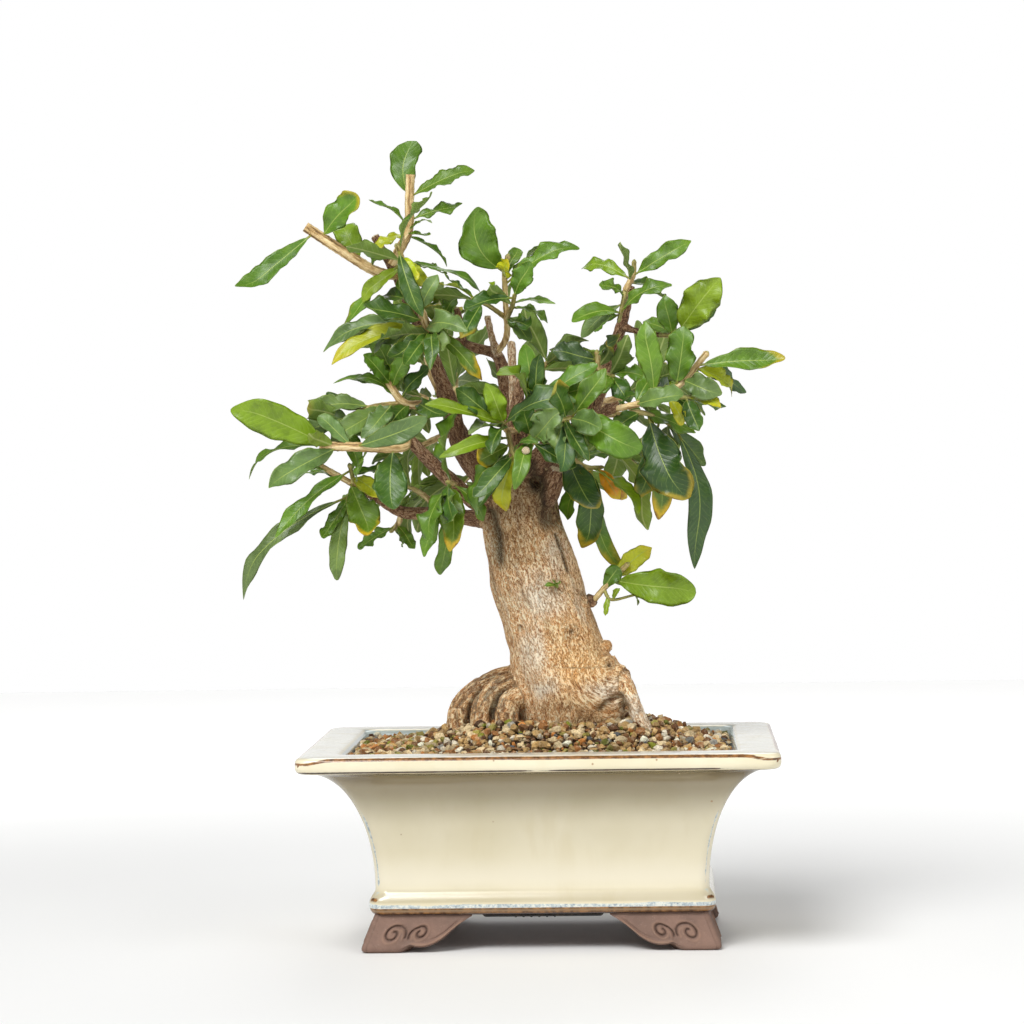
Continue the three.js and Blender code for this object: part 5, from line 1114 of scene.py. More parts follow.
# The leafy shoots in whole millimetres. A leaf is its stem, the place along it in hundredths, its tip, its width
# and its turn in degrees, and some have a sideways bow of their own.
shoots = [  # name, foot in the old wood, filling leaves, looks of the leaves, stems, leaves
    ("top", (-95, 6, 440), 0, "ggggyglg", [
        [(-90, 4, 448, 2.9), (-83, 2, 462, 2.8), (-82, 1, 481, 2.7), (-81, 0, 498, 2.6)]], [
        (0, 69, -79, 14, 521, 19, 86, -0.14), (0, 71, -40, -4, 501, 14, 40), (0, 44, -47, 4, 477, 11, 35),
        (0, 36, -110, 6, 480, 7, 15), (0, 26, -106, -14, 447, 9, 45), (0, 26, -57, 0, 440, 8, 15),
        (0, 29, -67, -12, 468, 6, 20), (0, 28, -67, -14, 456, 6, 30)]),
    ("top_left", (-98, 8, 430), 0, "gglg", [
        [(-106, 4, 436, 3.1), (-128, 0, 450, 3.1), (-150, -4, 465, 3.1)]], [
        (0, 76, -112, -14, 484, 19, 80), (0, 87, -191, -24, 420, 15, 62), (0, 19, -128, 14, 469, 17, 80),
        (0, 5, -98, 16, 449, 8, 20)]),
    ("upper_mid", (-89, 10, 427), 2, "dyyglgg", [
        [(-86, -4, 436, 2.2), (-87, -12, 444, 1.9), (-89, -18, 450, 1.7)]], [
        (0, 84, -73, -34, 402, 12, 72), (0, 50, -78, -26, 425, 12, 75), (0, 46, -70, -8, 424, 9, 70),
        (0, 35, -33, 10, 424, 8, 20), (0, 15, -115, -10, 418, 10, 60), (0, 30, -129, -2, 392, 10, 40),
        (0, 7, -60, 14, 432, 9, 25)]),
    ("tan_stub", (-70, 20, 380), 3, "dbbdddbybtg", [
        [(-70, -4, 390, 2.5), (-73, -16, 405, 2.4), (-79, -20, 417, 2.3)],
        [(-70, -4, 390, 2.2), (-67, -22, 396, 1.9)]], [
        (0, 38, -112, -30, 410, 17, 60), (0, 28, -108, -8, 386, 13, 50), (1, 60, -56, -46, 381, 17, 85),
        (1, 69, -94, -44, 374, 12, 60), (1, 69, -85, -50, 368, 11, 70), (1, 79, -64, -52, 371, 11, 80),
        (0, 21, -140, 2, 387, 12, 50), (0, 30, -134, -16, 378, 14, 60), (0, 63, -62, -24, 430, 12, 75),
        (1, 90, -36, -30, 363, 11, 60), (0, 66, -92, -2, 427, 9, 30)]),
    ("left_mid", (-60, 26, 349), 7, "ggdbbgbbbggdd", [
        [(-74, 0, 348, 2.6), (-87, -12, 349, 2.4), (-97, -14, 363, 2.3)],
        [(-87, -12, 349, 1.8), (-110, -16, 346, 1.6), (-134, -18, 335, 1.3)]], [
        (0, 53, -119, -10, 368, 9, 40), (0, 75, -133, 0, 366, 7, 20), (0, 12, -56, -44, 337, 12, 80),
        (1, 45, -146, -24, 346, 13, 50), (1, 74, -149, -36, 331, 16, 70), (1, 82, -115, -30, 306, 11, 60),
        (1, 96, -156, -8, 322, 12, 40), (1, 26, -133, -42, 326, 15, 72), (1, 17, -109, -44, 328, 14, 70),
        (0, 91, -112, -28, 382, 12, 60), (0, 86, -82, -30, 381, 12, 70), (0, 35, -97, -34, 330, 14, 80),
        (0, 58, -67, -26, 371, 13, 60)]),
    ("left_cut", (-84, -24, 327), 2, "lbbdgbb", [
        [(-88, -34, 320, 2.9), (-118, -42, 321, 2.8), (-139, -46, 322, 2.7)]], [
        (0, 87, -192, -60, 349, 23, 78), (0, 69, -172, -72, 296, 16, 70), (0, 47, -70, -62, 336, 15, 72),
        (0, 7, -92, -62, 279, 22, 82), (0, 84, -190, -24, 309, 9, 40), (0, 18, -121, -14, 338, 12, 60),
        (0, 51, -139, -30, 342, 12, 50)]),
    ("left_low", (-116, 12, 292), 2, "gbgbtgggy", [
        [(-122, 4, 296, 2.1), (-142, 0, 308, 1.9)],
        [(-122, 4, 296, 1.7), (-122, -4, 301, 1.5), (-123, -10, 308, 1.4)],
        [(-122, 4, 295, 1.8), (-125, -4, 287, 1.4)]], [
        (1, 83, -172, -22, 262, 11, 45), (2, 83, -201, -12, 231, 12, 50), (2, 67, -142, -18, 261, 10, 45),
        (2, 80, -132, -28, 236, 11, 60), (0, 13, -107, -26, 261, 20, 80), (0, 46, -159, 16, 281, 10, 40),
        (1, 58, -95, -20, 305, 9, 40), (0, 77, -161, -10, 306, 10, 40), (1, 50, -99, -26, 286, 11, 60)]),
    ("low_back_left", (-93, 22, 277), 0, "ggg", [
        [(-95, 30, 270, 1.9), (-100, 36, 265, 1.5)]], [
        (0, 28, -85, 24, 252, 8, 50), (0, 56, -122, 40, 253, 11, 50), (0, 78, -94, 48, 254, 10, 50)]),
    ("low_mid", (-54, -16, 294), 3, "gtgg", [
        [(-55, -30, 296, 2), (-57, -40, 297, 1.7)]], [
        (0, 80, -75, -44, 250, 10, 50), (0, 60, -53, -56, 255, 17, 82), (0, 50, -64, -30, 237, 11, 60),
        (0, 0, -35, -28, 272, 9, 40)]),
    ("front_left", (-13, -8, 329), 5, "dddlltly", [
        [(-19, -28, 330, 2.1), (-21, -38, 334, 1.7)],
        [(-19, -28, 330, 1.8), (-16, -44, 319, 1.6), (-13, -50, 312, 1.5)]], [
        (1, 84, -39, -66, 286, 13, 72), (1, 59, -36, -54, 279, 11, 60), (0, 72, -51, -46, 359, 14, 68),
        (0, 90, -69, -56, 349, 10, 50), (1, 22, -58, -66, 315, 10, 50), (1, 41, -38, -44, 310, 15, 60),
        (0, 92, -30, -50, 361, 13, 75), (1, 88, -24, -40, 278, 12, 60)]),
    ("front_centre", (-13, -8, 334), 3, "dgdbggdg", [
        [(-4, -28, 341, 2), (0, -38, 346, 1.7)],
        [(-4, -28, 341, 1.8), (-4, -42, 329, 1.6), (-3, -48, 321, 1.5)]], [
        (0, 85, 3, -50, 371, 13, 76), (0, 100, 40, -46, 371, 14, 64), (1, 67, -8, -62, 344, 17, 80),
        (1, 96, 16, -66, 343, 18, 76), (0, 85, 50, -58, 359, 17, 74), (0, 31, -7, -30, 385, 14, 75),
        (1, 92, 25, -52, 304, 12, 60), (1, 83, -11, -80, 296, 11, 60)]),
    ("front_mid", (28, -34, 333), 2, "bgdgb", [
        [(23, -48, 337, 1.8), (17, -56, 336, 1.6)]], [
        (0, 19, 42, -74, 330, 18, 78), (0, 0, 46, -60, 366, 14, 74), (0, 60, 10, -88, 362, 14, 74),
        (0, 2, 64, -72, 315, 23, 80), (0, 62, 12, -88, 318, 14, 74)]),
    ("front_right", (51, -42, 342), 3, "bybggydydggd", [
        [(64, -46, 345, 2.1), (74, -47, 348, 2), (92, -44, 357, 2), (109, -40, 376, 2)],
        [(82, -46, 350, 1.6), (92, -50, 349, 1.4), (99, -52, 349, 1.2)]], [
        (0, 0, 97, -66, 351, 15, 70), (1, 90, 118, -62, 344, 9, 50), (0, 72, 116, -64, 350, 16, 78),
        (0, 63, 96, -56, 393, 19, 80), (0, 88, 160, -44, 371, 15, 70), (0, 86, 128, -28, 352, 13, 55),
        (1, 32, 100, -40, 340, 12, 60), (1, 13, 95, -58, 332, 8, 60), (1, 80, 105, -60, 327, 12, 75),
        (0, 0, 75, -30, 363, 11, 60), (0, 37, 68, -54, 397, 16, 74), (0, 48, 52, -24, 348, 12, 50)]),
    ("hang_right", (41, -38, 339), 3, "DtBddd", [
        [(54, -28, 339, 1.9), (67, -32, 340, 1.7), (78, -26, 336, 1.5), (90, -18, 330, 1.3)]], [
        (0, 48, 92, -56, 285, 28, 84), (0, 55, 81, -30, 271, 15, 70), (0, 96, 95, -22, 238, 15, 72, -0.13),
        (0, 70, 66, -8, 283, 14, 60), (0, 33, 49, -40, 328, 12, 60), (0, 77, 105, 6, 307, 13, 60)]),
    ("right_top", (60, 12, 414), 2, "lggbggd", [
        [(58, -3, 419, 2.1), (63, -1, 429, 1.9), (64, -1, 437, 1.6)],
        [(58, -3, 419, 1.6), (56, -10, 409, 1.5), (54, -13, 401, 1.3)]], [
        (0, 38, 29, 14, 438, 11, 60), (0, 50, 101, -6, 451, 13, 60), (1, 17, 42, -20, 422, 10, 50),
        (1, 42, 31, -24, 390, 12, 50), (1, 74, 86, -30, 423, 12, 60), (1, 83, 38, 2, 394, 10, 50),
        (0, 27, 80, 26, 414, 12, 50)]),
    ("right_fork", (80, 1, 390), 1, "lggg", [
        [(88, -6, 390, 1.6), (93, -10, 392, 1.4)]], [
        (0, 80, 119, -20, 426, 23, 84), (0, 5, 82, -14, 415, 15, 78), (0, 0, 99, -28, 378, 11, 60),
        (0, 30, 71, 10, 399, 11, 60)]),
    ("right_inner", (43, 26, 360), 2, "Bggbgd", [
        [(40, 12, 367, 1.9), (39, 8, 379, 1.7)],
        [(40, 12, 367, 1.7), (49, -6, 364, 1.5)]], [
        (0, 66, 11, 0, 383, 17, 76), (1, 68, 73, -10, 362, 11, 60), (0, 34, 21, -6, 354, 12, 60),
        (0, 88, 56, -10, 389, 10, 50), (1, 93, 36, -24, 351, 13, 70), (1, 93, 60, -20, 346, 13, 70)]),
    ("top_centre", (-26, 38, 382), 3, "gydggggdbgydgl", [
        [(-21, 26, 393, 2.1), (-21, 16, 416, 1.9), (-21, 12, 435, 1.7), (-19, 11, 443, 1.6)],
        [(-21, 22, 403, 1.8), (-16, 2, 411, 1.6), (-14, -8, 417, 1.4)],
        [(-21, 22, 404, 1.7), (-32, 12, 412, 1.5), (-41, 6, 416, 1.3)]], [
        (0, 64, -40, 0, 476, 26, 78, -0.18), (0, 60, -18, -4, 440, 12, 70), (1, 90, -46, -24, 408, 13, 60),
        (0, 50, 26, 6, 452, 14, 60), (1, 95, 0, -22, 438, 14, 70), (1, 65, 12, -14, 411, 8, 25),
        (1, 44, 8, -4, 400, 9, 30), (0, 10, -2, -2, 395, 11, 45), (0, 18, -5, 4, 386, 11, 45),
        (2, 93, -62, -2, 431, 8, 25), (2, 100, -68, -6, 425, 7, 15), (2, 72, -48, -14, 390, 12, 60),
        (0, 56, -11, 26, 449, 10, 40), (2, 57, -25, -2, 425, 9, 40)]),
    ("upper_back", (-56, 42, 389), 5, "gggg", [
        [(-64, 42, 395, 1.9), (-67, 40, 403, 1.6)]], [
        (0, 50, -55, 36, 420, 10, 50), (0, 67, -82, 46, 418, 11, 50), (0, 33, -88, 54, 396, 12, 50),
        (0, 83, -52, 58, 411, 10, 40)]),
    ("low_right", (35, -8, 219), 0, "lygllg", [
        [(41, -11, 226, 1.9), (47, -12, 232, 1.8), (56, -14, 241, 1.7)],
        [(41, -11, 226, 1.3), (46, -14, 219, 1), (61, -18, 222, 0.8)]], [
        (0, 47, 101, -34, 226, 23, 80), (0, 54, 72, -6, 253, 13, 76), (0, 0, 51, -16, 240, 11, 70),
        (1, 30, 42, -16, 209, 4, 50), (1, 54, 51, -20, 227, 4, 50), (0, 40, 64, 6, 216, 8, 50)]),
    ("hang_centre", (16, 24, 318), 2, "Ddooogdg", [
        [(18, 2, 314, 2.2), (24, -10, 309, 1.9), (32, -14, 305, 1.6), (40, -14, 305, 1.3)]], [
        (0, 4, 39, -34, 273, 20, 76), (0, 78, 31, -6, 251, 17, 72), (0, 94, 52, -20, 284, 10, 70),
        (0, 89, 55, 0, 283, 9, 60), (0, 44, 34, -28, 296, 6, 60), (0, 19, 48, 14, 236, 12, 60),
        (0, 39, 14, -2, 323, 12, 50), (0, 61, 17, 12, 273, 12, 60)]),
]
shoots += [(name, foot, fill, "", [stem], []) for name, foot, fill, stem in [  # with filling leaves only
    ("back_left_low", (-54, 60, 328), 8, [(-67, 72, 327, 2.3), (-84, 82, 320, 2), (-99, 88, 311, 1.6)]),
    ("back_left_end", (-69, 82, 355), 9, [(-77, 90, 371, 2.4), (-85, 92, 384, 2), (-93, 90, 393, 1.6)]),
    ("back_left_out", (-62, 74, 344), 7, [(-60, 88, 354, 2.2), (-60, 102, 362, 1.8), (-60, 112, 369, 1.5)]),
    ("back_right_low", (28, 66, 331), 8, [(38, 76, 323, 2.3), (52, 84, 314, 2), (65, 86, 302, 1.6)]),
    ("back_right_end", (49, 82, 347), 9, [(59, 84, 355, 2.4), (73, 82, 364, 2), (82, 78, 372, 1.6)]),
    ("back_right_out", (39, 74, 339), 7, [(40, 90, 348, 2.2), (40, 104, 357, 1.8), (38, 112, 365, 1.5)]),
    ("back_top_end", (-5, 67, 361), 8, [(-3, 74, 366, 2.3), (1, 78, 372, 2), (5, 80, 377, 1.6)]),
    ("back_top_low", (-11, 46, 334), 7, [(-13, 60, 338, 2.3), (-16, 74, 345, 2), (-20, 86, 351, 1.6)]),
    ("back_mid_left", (-41, 42, 312), 6, [(-46, 58, 304, 2.2), (-52, 72, 298, 1.9), (-58, 82, 293, 1.5)]),
    ("back_mid_right", (10, 44, 315), 6, [(13, 60, 308, 2.2), (17, 74, 304, 1.9), (20, 84, 300, 1.5)]),
    ("mid_left", (-61, 26, 347), 9, [(-69, 46, 348, 2.2), (-79, 58, 353, 1.9), (-90, 64, 357, 1.5)]),
    ("mid_right", (38, 29, 347), 8, [(46, 46, 349, 2.2), (57, 56, 353, 1.9), (67, 60, 357, 1.5)]),
    ("mid_low_left", (-69, 19, 276), 7, [(-75, 32, 285, 2), (-84, 42, 291, 1.7), (-94, 48, 295, 1.4)]),
]]

leaf = dict(
    bud=(11.4, -22.0, 228.0),  # where the sprout's leaves start on the trunk; then the tip and width of each
    sprout=[((3.6, -27, 229.6), 3.0), ((8.0, -28, 232.8), 2.6), ((13.6, -27, 231.6), 2.4)],
    towardsFront=np.array([0.0, -1.0, 0.0]),
    stations=((36, (0.35, 0.78)), (60, (0.24, 0.55, 0.84)), (math.inf, (0.16, 0.4, 0.64, 0.87))),  # by length
    sameCorner=0.03, sproutNumber=60,
    highest=520.9, stalkHalf=0.8, placedStalk=0.1, fillingStalk=0.08, attempts=7, thick=0.34, stalkThick=1.3,
    stalkRows=(0.0, 0.45),
    bladeRows=(0.0, 0.035, 0.07, 0.11, 0.155, 0.2, 0.25, 0.3, 0.35, 0.4, 0.45, 0.5, 0.55, 0.6, 0.65, 0.7, 0.75,
               0.795, 0.84, 0.88, 0.915, 0.945, 0.97, 0.99),
    above=(-1, -0.78, -0.48, -0.2, 0, 0.2, 0.48, 0.78), below=(1, 0.78, 0.48, 0.2, 0, -0.2, -0.48, -0.78),
    ripple=0.09, swing=1.3, uneven=0.06, hook=0.12, sideHook=0.07, sharp=0.4,
    looks=dict(g=(88, 126, 22), d=(58, 92, 18), D=(44, 74, 18), b=(98, 124, 62), B=(66, 94, 48), l=(122, 150, 8),
               y=(176, 184, 20), t=(94, 122, 20), o=(214, 146, 20)),
    mixture="gdgdbgBlg",  # the looks that a leaf without one draws from
    worn=dict(t=0.85, o=1.0, D=0.4, y=0.3), paleEdge=dict(D=1.0, l=0.2, y=0.2),
)


def inWood(foot):  # the point on the middle line of the old branches that lies nearest
    foot, best = np.array(foot, float), None
    for line in branches.values():
        for a, b in zip(np.array(line[:-1], float)[:, :3], np.array(line[1:], float)[:, :3]):
            near = a + np.clip(np.dot(foot - a, b - a) / np.dot(b - a, b - a), 0, 1) * (b - a)
            if best is None or np.linalg.norm(near - foot) < np.linalg.norm(best - foot):
                best = near
    return best


def onStem(stem, place):  # the point and the way at one place, from 0 to 1, along a stem
    p = np.array(stem, float)[:, :3]
    step = min(len(p) - 1.1, place * (len(p) - 1))
    i = int(step)
    return p[i] + (p[i + 1] - p[i]) * (step - i), unit(p[i + 1] - p[i])


def bladeFrame(base, tip, turn, hint):
    # along runs from base to tip; the face turns from looking up, at 0 degrees, to along the hint, at 90
    length = np.linalg.norm(tip - base)
    along = (tip - base) / length
    angle = math.radians(turn)
    face = np.array([0, 0, math.cos(angle)]) + hint * math.sin(angle)
    face = unit(face - along * np.dot(face, along))
    return dict(base=base, tip=tip, length=length, along=along, face=face, side=np.cross(along, face))


def draws(a, b, count):  # numbers of 0 to 1 that depend on two counters alone
    return [float(chance(a, b, k)) for k in range(count)]


def habit(shoot, number):  # the bend, twist, waves, fold and fullness of one leaf
    draw = draws(shoot + 1, number + 1, 10)
    return dict(bend=0.03 + 0.13 * draw[1], twist=(draw[2] - 0.5) * 0.9, wave=0.12 + 0.24 * draw[3],
                waves=1.5 + 1.3 * draw[4], phase=2 * math.pi * draw[5], fold=0.1 + 0.35 * draw[6],
                sway=(draw[7] - 0.5) * 0.08, a=0.6 + 0.35 * draw[8], b=0.38 + 0.3 * draw[9])


def placedLeaf(shoot, number, stems, row, attempt):  # a later attempt moves the tip in depth
    stem, place, x, y, z, width, turn, *sway = row
    point, _ = onStem(stems[stem], place / 100)
    shift = 7 * math.ceil(attempt / 2) * (-1 if attempt % 2 else 1)
    made = bladeFrame(point, np.array([x, y + shift, z], float), turn, leaf["towardsFront"])
    made.update(habit(shoot, number), width=width, stalk=leaf["placedStalk"])
    if sway:
        made["sway"] = sway[0]
    return made


def fillingLeaf(shoot, number, stems, fill, attempt):
    # leaves follow each other round the stem by the golden angle, and droop a little
    draw = draws(shoot + 41, number + 1, 7)
    point, way = onStem(stems[number % len(stems)], 0.1 + 0.9 * (number + 0.5) / fill)
    across = unit(np.cross(way, askew))
    second = np.cross(way, across)
    spin = 2.4 * number + 2 * math.pi * draw[1] + 0.8 * attempt
    tilt = 0.55 + 0.8 * draw[2]
    along = way * math.cos(tilt) + across * math.sin(tilt) * math.cos(spin)
    along = along + second * math.sin(tilt) * math.sin(spin)
    along[2] -= 0.25 * draw[3]
    length = (27 + 25 * draw[4]) * 0.95 ** attempt
    hint = unit(np.array([point[0], point[1], 0.0]))
    made = bladeFrame(point, point + unit(along) * length, 20 + 50 * draw[5], hint)
    made.update(habit(shoot, number + 50), width=length * (0.27 + 0.12 * draw[6]), stalk=leaf["fillingStalk"])
    return made


def stacked(blades):  # the same facts as whole arrays: one row for each leaf, and room for the rows of its grid
    return {key: np.array([blade[key] for blade in blades], float)[:, None] for key in blades[0] if key != "look"}


def bladeFacts(b, t):
    # how far along the blade each row is, a hump u^a (1-u)^b of height 1, the midrib bowed by a sine, and the side
    # and face, which turn about the midrib towards the tip
    u = np.clip((t - b["stalk"]) / (1 - b["stalk"]), 0, 1)
    peak = (b["a"] + b["b"]) ** (b["a"] + b["b"]) / (b["a"] ** b["a"] * b["b"] ** b["b"])
    hump = peak * u ** b["a"] * (1 - u) ** b["b"]
    turn = (b["twist"] * u)[..., None]
    side = b["side"] * np.cos(turn) + b["face"] * np.sin(turn)
    face = b["face"] * np.cos(turn) - b["side"] * np.sin(turn)
    length = b["length"][..., None]
    sway = b["face"] * b["bend"][..., None] + b["side"] * b["sway"][..., None]
    middle = b["base"] + b["along"] * (length * t[:, None]) + np.sin(np.pi * t)[:, None] * length * sway
    return u, hump, middle, side, face


def bladeGrid(b, t, s, lift):
    # half width: the stalk's, and the hump scaled to the leaf's width, narrower at a sharp tip. The edges rise by
    # s squared with a fold and a wave, swing in and out a little, and the tip hooks
    u, hump, middle, side, face = bladeFacts(b, t)
    phase, waves, far = b["phase"], b["waves"], u[..., None]
    sharp = leaf["sharp"] * (0.5 + 0.5 * np.sin(11 * phase)) ** 0.7
    hump = hump * (1 - sharp * ease(u, 0.78, 1.04))
    half = leaf["stalkHalf"] * (1 - ease(u, 0.86, 1.0)) + (b["width"] / 2 - leaf["stalkHalf"]) * hump
    half = half[..., None]
    slow = 2 * np.pi * (0.8 + 0.5 * waves)[..., None] * far + 5 * phase[..., None] * np.where(s > 0, 1.0, 2.3)
    uneven = np.sin(slow) + 0.6 * np.sin(2.3 * slow + 1)
    angle = (2 * np.pi * waves * u + phase)[..., None] + 1.9 * (s > 0)
    ripple = leaf["ripple"] * np.sin(2.7 * angle + 1) * ease(far, 0, 0.25)
    ripple = leaf["swing"] * b["wave"][..., None] * np.sin(angle) + ripple
    edge = s ** 2 * half * (b["fold"][..., None] + ripple)
    end = b["length"] * np.clip(u - 0.68, 0, 1) ** 2 / 0.1
    middle = middle + b["face"] * (leaf["hook"] * end * np.sin(7 * phase + 1))[..., None]
    middle = middle + b["side"] * (leaf["sideHook"] * end * np.sin(9 * phase + 2))[..., None]
    across = s * half * (1 + leaf["uneven"] * uneven * ease(far, 0.05, 0.3))
    points = middle[:, :, None] + side[:, :, None] * across[..., None] + face[:, :, None] * (edge + lift)[..., None]
    return points, u, half, across


def leafSkin(blades):
    # rings of points round each blade, upper side then lower, closed by a point at the tip and one at the base
    b = stacked(blades)
    stalk = float(b["stalk"][0, 0])
    t = np.concatenate([np.array(leaf["stalkRows"]) * stalk, stalk + (1 - stalk) * np.array(leaf["bladeRows"])])
    s = np.array(leaf["above"] + leaf["below"], float)
    upper = np.arange(len(s)) < len(leaf["above"])
    _, u, _, across = bladeGrid(b, t, s, 0)
    solid = ease(u, 0.0, 0.07)[..., None]
    thick = leaf["stalkThick"] * (1 - solid) + leaf["thick"] * solid
    dome = np.sqrt(np.clip(1 - s ** 2, 0, 1)) * (1 - solid) + (1 - s ** 4) * solid
    rib = bell(across, 0.8) * solid * (1 - u[..., None])
    lift = np.where(upper, 0.5, -0.5) * thick * dome + np.where(upper, -0.2 * rib, -0.55 * rib)
    points, u, half, across = bladeGrid(b, t, s, lift)
    count, rows, columns = points.shape[:3]
    before, last = points[:, -2:, [0, len(leaf["above"])]].mean(axis=2).transpose(1, 0, 2)
    every = np.concatenate([points.reshape(count, -1, 3), b["base"], (1.5 * last - 0.5 * before)[:, None]], axis=1)
    every[..., 2] = np.minimum(every[..., 2], leaf["highest"])
    a, d, c, e = gridFaces(rows, columns).T  # split alike above and below, so that the two sides never cross
    above = np.tile(upper, rows - 1)
    split = np.where(above[:, None], together(a, d, c, a, c, e), together(a, d, e, d, c, e))
    ring, points, end = np.arange(columns), rows * columns, (rows - 1) * columns
    after = (ring + 1) % columns
    cap = together(after, ring, 0 * ring + points)
    tip = together(end + ring, end + after, 0 * ring + points + 1)
    faces = np.concatenate([split.reshape(-1, 3), cap, tip])
    move = (np.arange(count) * every.shape[1])[:, None, None]
    below = np.concatenate([np.repeat(~above, 2), np.tile(~upper, 2)])

    def spread(values, base, tip):  # one value for each point: the grid's, the base's and the tip's
        grid = np.broadcast_to(values, across.shape).reshape(count, -1)
        return np.hstack([grid, np.broadcast_to(base, (count, 1)), np.broadcast_to(tip, (count, 1))])

    along = np.clip(t - b["stalk"], -1, 1) * b["length"]
    blade = np.stack([spread(along[..., None], along[:, :1], b["length"]), spread(across, 0, 0),
                      spread((1 - np.abs(s)) * half, 0, 0)], axis=2)
    return every, (faces + move).reshape(-1, 3), np.tile(below, count), blade, spread(u[..., None], 0, 1)


def chosenTry(node, make):
    # the try whose outline points are among the solid's own corners; none where the solid leaves the leaf out
    best, found = None, 1
    for attempt in range(leaf["attempts"]):
        blade = make(attempt)
        rows = next(np.array(rows) for longest, rows in leaf["stations"] if blade["length"] < longest)
        t = blade["stalk"] + rows * (1 - blade["stalk"])
        spots = np.concatenate([plainEdges(stacked([blade]), t), blade["tip"][None]])
        far = np.min(np.linalg.norm(node[None] - spots[:, None], axis=2), axis=1)
        hits = int(np.sum(far < leaf["sameCorner"]))
        if hits > found:
            best, found = blade, hits
    return best


def plainEdges(b, t):  # the edge points of the solid's own blade, without the finer ripple
    u, hump, middle, side, face = bladeFacts(b, t)
    half = leaf["stalkHalf"] + (b["width"] / 2 - leaf["stalkHalf"]) * hump
    ends = []
    for s, late in ((-1, 0), (1, 1.9)):
        edge = half * (b["fold"] + b["wave"] * np.sin(2 * np.pi * b["waves"] * u + b["phase"] + late))
        ends.append(middle + side * (s * half)[..., None] + face * edge[..., None])
    return np.concatenate(ends, axis=1).reshape(-1, 3)


def leafLook(shoot, number, look):
    # the tint of one leaf, how far its tip and edges have turned yellow or brown, and how pale its edge is
    draw = draws(shoot + 7, number + 3, 6)
    if not look:
        look = leaf["mixture"][int(draw[0] * len(leaf["mixture"]))]
    tint = np.array(paint(leaf["looks"][look])[:3]) * (0.82 + 0.36 * draw[1])
    tint = tint * np.array([1 + 0.16 * (draw[2] - 0.5), 1, 1 + 0.3 * (draw[3] - 0.5)])
    worn = leaf["worn"].get(look, 0.5 if draw[4] > 0.93 else 0.0)
    pale = leaf["paleEdge"].get(look, 0.3 + 0.4 * draw[5])
    return tint, worn, pale


def bladePlaces(made):  # how far along the blade, from its midrib and from its edge, and lines that slant outwards
    along, across, edge = made.node("SeparateXYZ", {0: made.mark("blade", "Vector")}).outputs
    across = made.maths("ABSOLUTE", across)
    return along, across, edge, made.minus(along, made.times(across, 1.15))


def makeLeafTop():
    # glossy green with a thin pale midrib and edge, faint paired side veins, slow mottling, and worn tips
    made = Finish("leafTop", Roughness=0.44, Specular_IOR_Level=0.45, Coat_Weight=0.1, Coat_Roughness=0.25)
    along, across, edge, slant = bladePlaces(made)
    mottle, fine = made.noise(90, 4, 0.6), made.noise(520, 4, 0.65)
    made.body = made.mark("tint", "Color")
    made.over(made.between(mottle, 0.32, 0.55, 0.35, 0), (30, 54, 8))
    made.over(made.between(mottle, 0.5, 0.8, 0, 0.2), (140, 168, 30))
    vein = made.maths("PINGPONG", made.plus(slant, made.times(made.noise(110), 6.0)), 2.1)
    line = made.times(made.between(vein, 0, 0.34, 1, 0), made.between(edge, 0.3, 2.5))
    made.over(made.times(made.times(line, made.between(fine, 0.35, 0.6)), 0.22), (168, 190, 96))
    margin = made.times(made.between(edge, 0.08, 0.4, 1, 0), "paleEdge")
    made.over(made.times(margin, 0.7), (190, 192, 84))
    rib = made.times(made.between(across, 0.12, 0.45, 1, 0), made.between("far", 0.6, 1, 1, 0.1))
    made.over(made.times(rib, 0.62), (166, 184, 88))
    wear = made.minus(made.plus("far", made.times(mottle, 0.55)), made.times(edge, 0.05))
    made.over(made.times(made.between(wear, 0.86, 1.12), "worn"), made.mix(mottle, (186, 182, 28), (228, 168, 30)))
    made.over(made.times(made.between(wear, 1.16, 1.26), made.times("worn", "worn")), (112, 66, 28))
    made.over(made.times(made.between(along, -1.0, 1.5, 1, 0), 0.8), (138, 134, 52))
    height = made.plus(made.times(made.between(vein, 0, 1.4), 0.6), made.times(mottle, 0.8))
    return made.done(made.minus(height, made.times(rib, 0.8)), 0.35, 0.4, made.between(mottle, 0.3, 0.7, 0.36, 0.5))


def makeLeafUnder():
    # matt grey-green with a raised pale midrib and side veins
    made = Finish("leafUnder", Roughness=0.6, Specular_IOR_Level=0.3)
    _, across, _, slant = bladePlaces(made)
    mottle, vein = made.noise(200, 4, 0.6), made.maths("PINGPONG", slant, 2.3)
    made.body = made.mix(0.55, made.mark("tint", "Color"), (132, 152, 74))
    made.over(made.between(mottle, 0.3, 0.7, 0.25, 0), (98, 118, 74))
    made.over(made.between(vein, 0, 0.4, 0.22, 0), (178, 192, 130))
    made.over(made.between(across, 0.3, 0.7, 0.6, 0), (184, 194, 124))
    made.over(made.times(made.between("far", 0.6, 1.0), "worn"), (206, 182, 70))
    return made.done(made.minus(mottle, made.between(vein, 0, 0.8)), 0.35, 0.3)


def makeYoungBark():
    # grey-green to tan skin with lengthwise streaks, green where thin, pale wood on the cut ends
    made = Finish("youngBark", Roughness=0.62)
    streaks = made.noise(520, 4, 0.6, made.stretched(made.mark("grain", "Vector"), (1, 1, 0.14)))
    spots = made.noise(300, 3, 0.6)
    woody = made.ramp(streaks, (0.36, (112, 84, 46)), (0.45, (178, 144, 90)), (0.54, (214, 184, 130)),
                      (0.66, (240, 218, 170)))
    made.body = made.mix("woody", made.ramp(streaks, (0.36, (104, 102, 46)), (0.62, (168, 164, 88))), woody)
    made.over(made.between(spots, 0.55, 0.7, 0, 0.4), (134, 92, 60))
    made.over("cut", (226, 212, 174))
    return made.done(made.plus(streaks, spots), 0.5, 0.35)


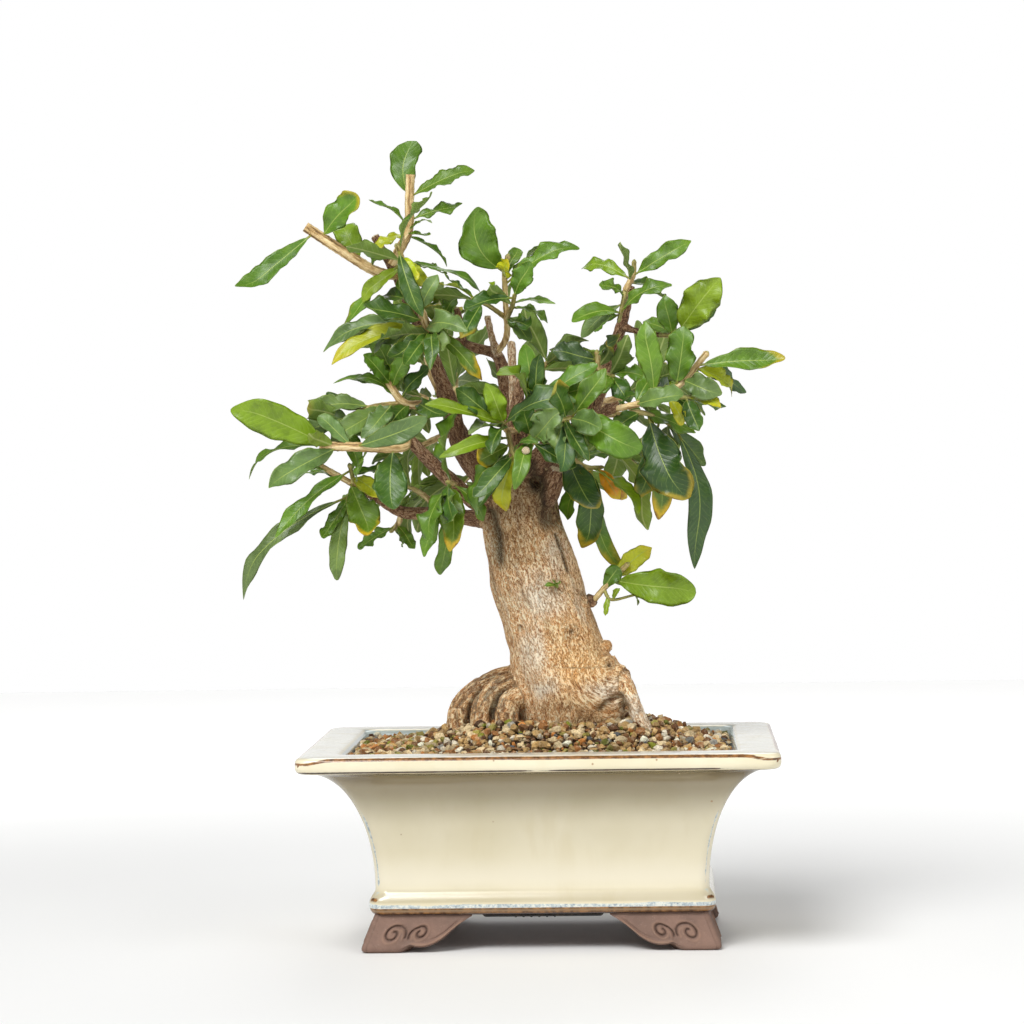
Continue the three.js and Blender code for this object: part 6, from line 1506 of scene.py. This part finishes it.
stemHabit = dict(
    step=1.2, sides=10, knob=0.09, knobGap=9.5, uneven=0.04, cutWider=1.12,
    cutFrom=2.2,  # a stem whose end has more than this radius is cut off
    cutEnd=[(0.02, 0.84), (0.0, 0.3)], bud=[(0.8, 1.1), (2.0, 0.8), (3.0, 0.25)],  # how far on, share of the radius
)


def growShoots():
    tops = [makeLeafTop(), makeLeafUnder()]
    stemParts, stemMarks, total = [], [], 0
    for shoot, (name, foot, fill, looks, stems, rows) in enumerate(shoots):
        node = pointsOf(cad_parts[f"shoot_{name}"].data)
        makers = [lambda n, k=k: placedLeaf(shoot, k, stems, rows[k], n) for k in range(len(rows))]
        makers += [lambda n, k=k: fillingLeaf(shoot, k, stems, fill, n) for k in range(fill)]
        blades = []
        for number, make in enumerate(makers):
            blade = chosenTry(node, make)
            if blade is None:
                print("left out", name, number)
                continue
            blade["look"] = leafLook(shoot, number, looks[number] if number < len(looks) else "")
            blades.append(blade)
        total += len(blades)
        makeLeaves(name, blades, tops, [f"shoot_{name}"])
        start = tuple(inWood(foot)) + (stems[0][0][3],)
        for line in [[start] + stems[0]] + stems[1:]:
            part, marks = youngStem(line, cut=line[-1][3] > stemHabit["cutFrom"])
            stemParts.append(part)
            stemMarks.append(marks)
    sprout, own = [], leaf["sproutNumber"]
    for number, (tip, width) in enumerate(leaf["sprout"]):
        blade = bladeFrame(np.array(leaf["bud"]), np.array(tip), 50, leaf["towardsFront"])
        blade.update(habit(own, number), width=width, stalk=leaf["placedStalk"], look=leafLook(own, number, "g"))
        sprout.append(blade)
    makeLeaves("trunkSprout", sprout, tops, [])
    mesh = meshFrom("stems", *gather(stemParts))
    mark(mesh, **{key: np.concatenate([marks[key] for marks in stemMarks]) for key in ("grain", "woody", "cut")})
    pieceFrom("youngStems", mesh, [makeYoungBark()])
    print("leaves", total)


def makeLeaves(name, blades, materials, nodes):
    every, faces, under, places, far = leafSkin(blades)
    mesh = meshFrom(name, every.reshape(-1, 3), faces)
    looks = zip(*[blade["look"] for blade in blades])
    tints, worn, pale = (np.repeat(np.array(values), every.shape[1], axis=0) for values in looks)
    mark(mesh, blade=places.reshape(-1, 3), far=far.ravel(), tint=tints, worn=worn, paleEdge=pale)
    pieceFrom(f"leaves_{name}", mesh, materials, nodes)
    mesh.polygons.foreach_set("material_index", under.astype(np.int32))
    mesh.update()


def youngStem(line, cut):
    # a smooth line, swollen a little at the leaf nodes, whose end is a cut face or a small bud
    smooth, sides = curveThrough(line, stemHabit["step"]), stemHabit["sides"]
    run = runAlong(smooth[:, :3])
    knobs = stemHabit["knob"] * np.cos(2 * np.pi * run / stemHabit["knobGap"]) ** 8
    uneven = stemHabit["uneven"] * noise(smooth[:, :3], 4, 51)
    smooth[:, 3] *= (stemHabit["cutWider"] if cut else 1) + knobs + uneven
    way = unit(smooth[-1, :3] - smooth[-2, :3])
    last = stemHabit["cutEnd" if cut else "bud"]
    ends = np.array([np.append(smooth[-1, :3] + way * d, smooth[-1, 3] * share) for d, share in last])
    full = np.vstack([smooth, ends])
    length = np.append(run, run[-1] + 1 + np.arange(len(ends)))[:, None]
    radius, turn = full[:, 3:], turns(sides)
    grain = together(radius * np.cos(turn), radius * np.sin(turn), length).reshape(-1, 3) * metre
    ending = np.zeros(len(full))
    if cut:
        ending[-2:] = 1
    woody, ending = (np.repeat(values, sides) for values in (ease(full[:, 3], 1.3, 2.3), ending))
    return tube(full, sides), dict(grain=grain, woody=woody, cut=ending)


growShoots()
print("shoots are grown")
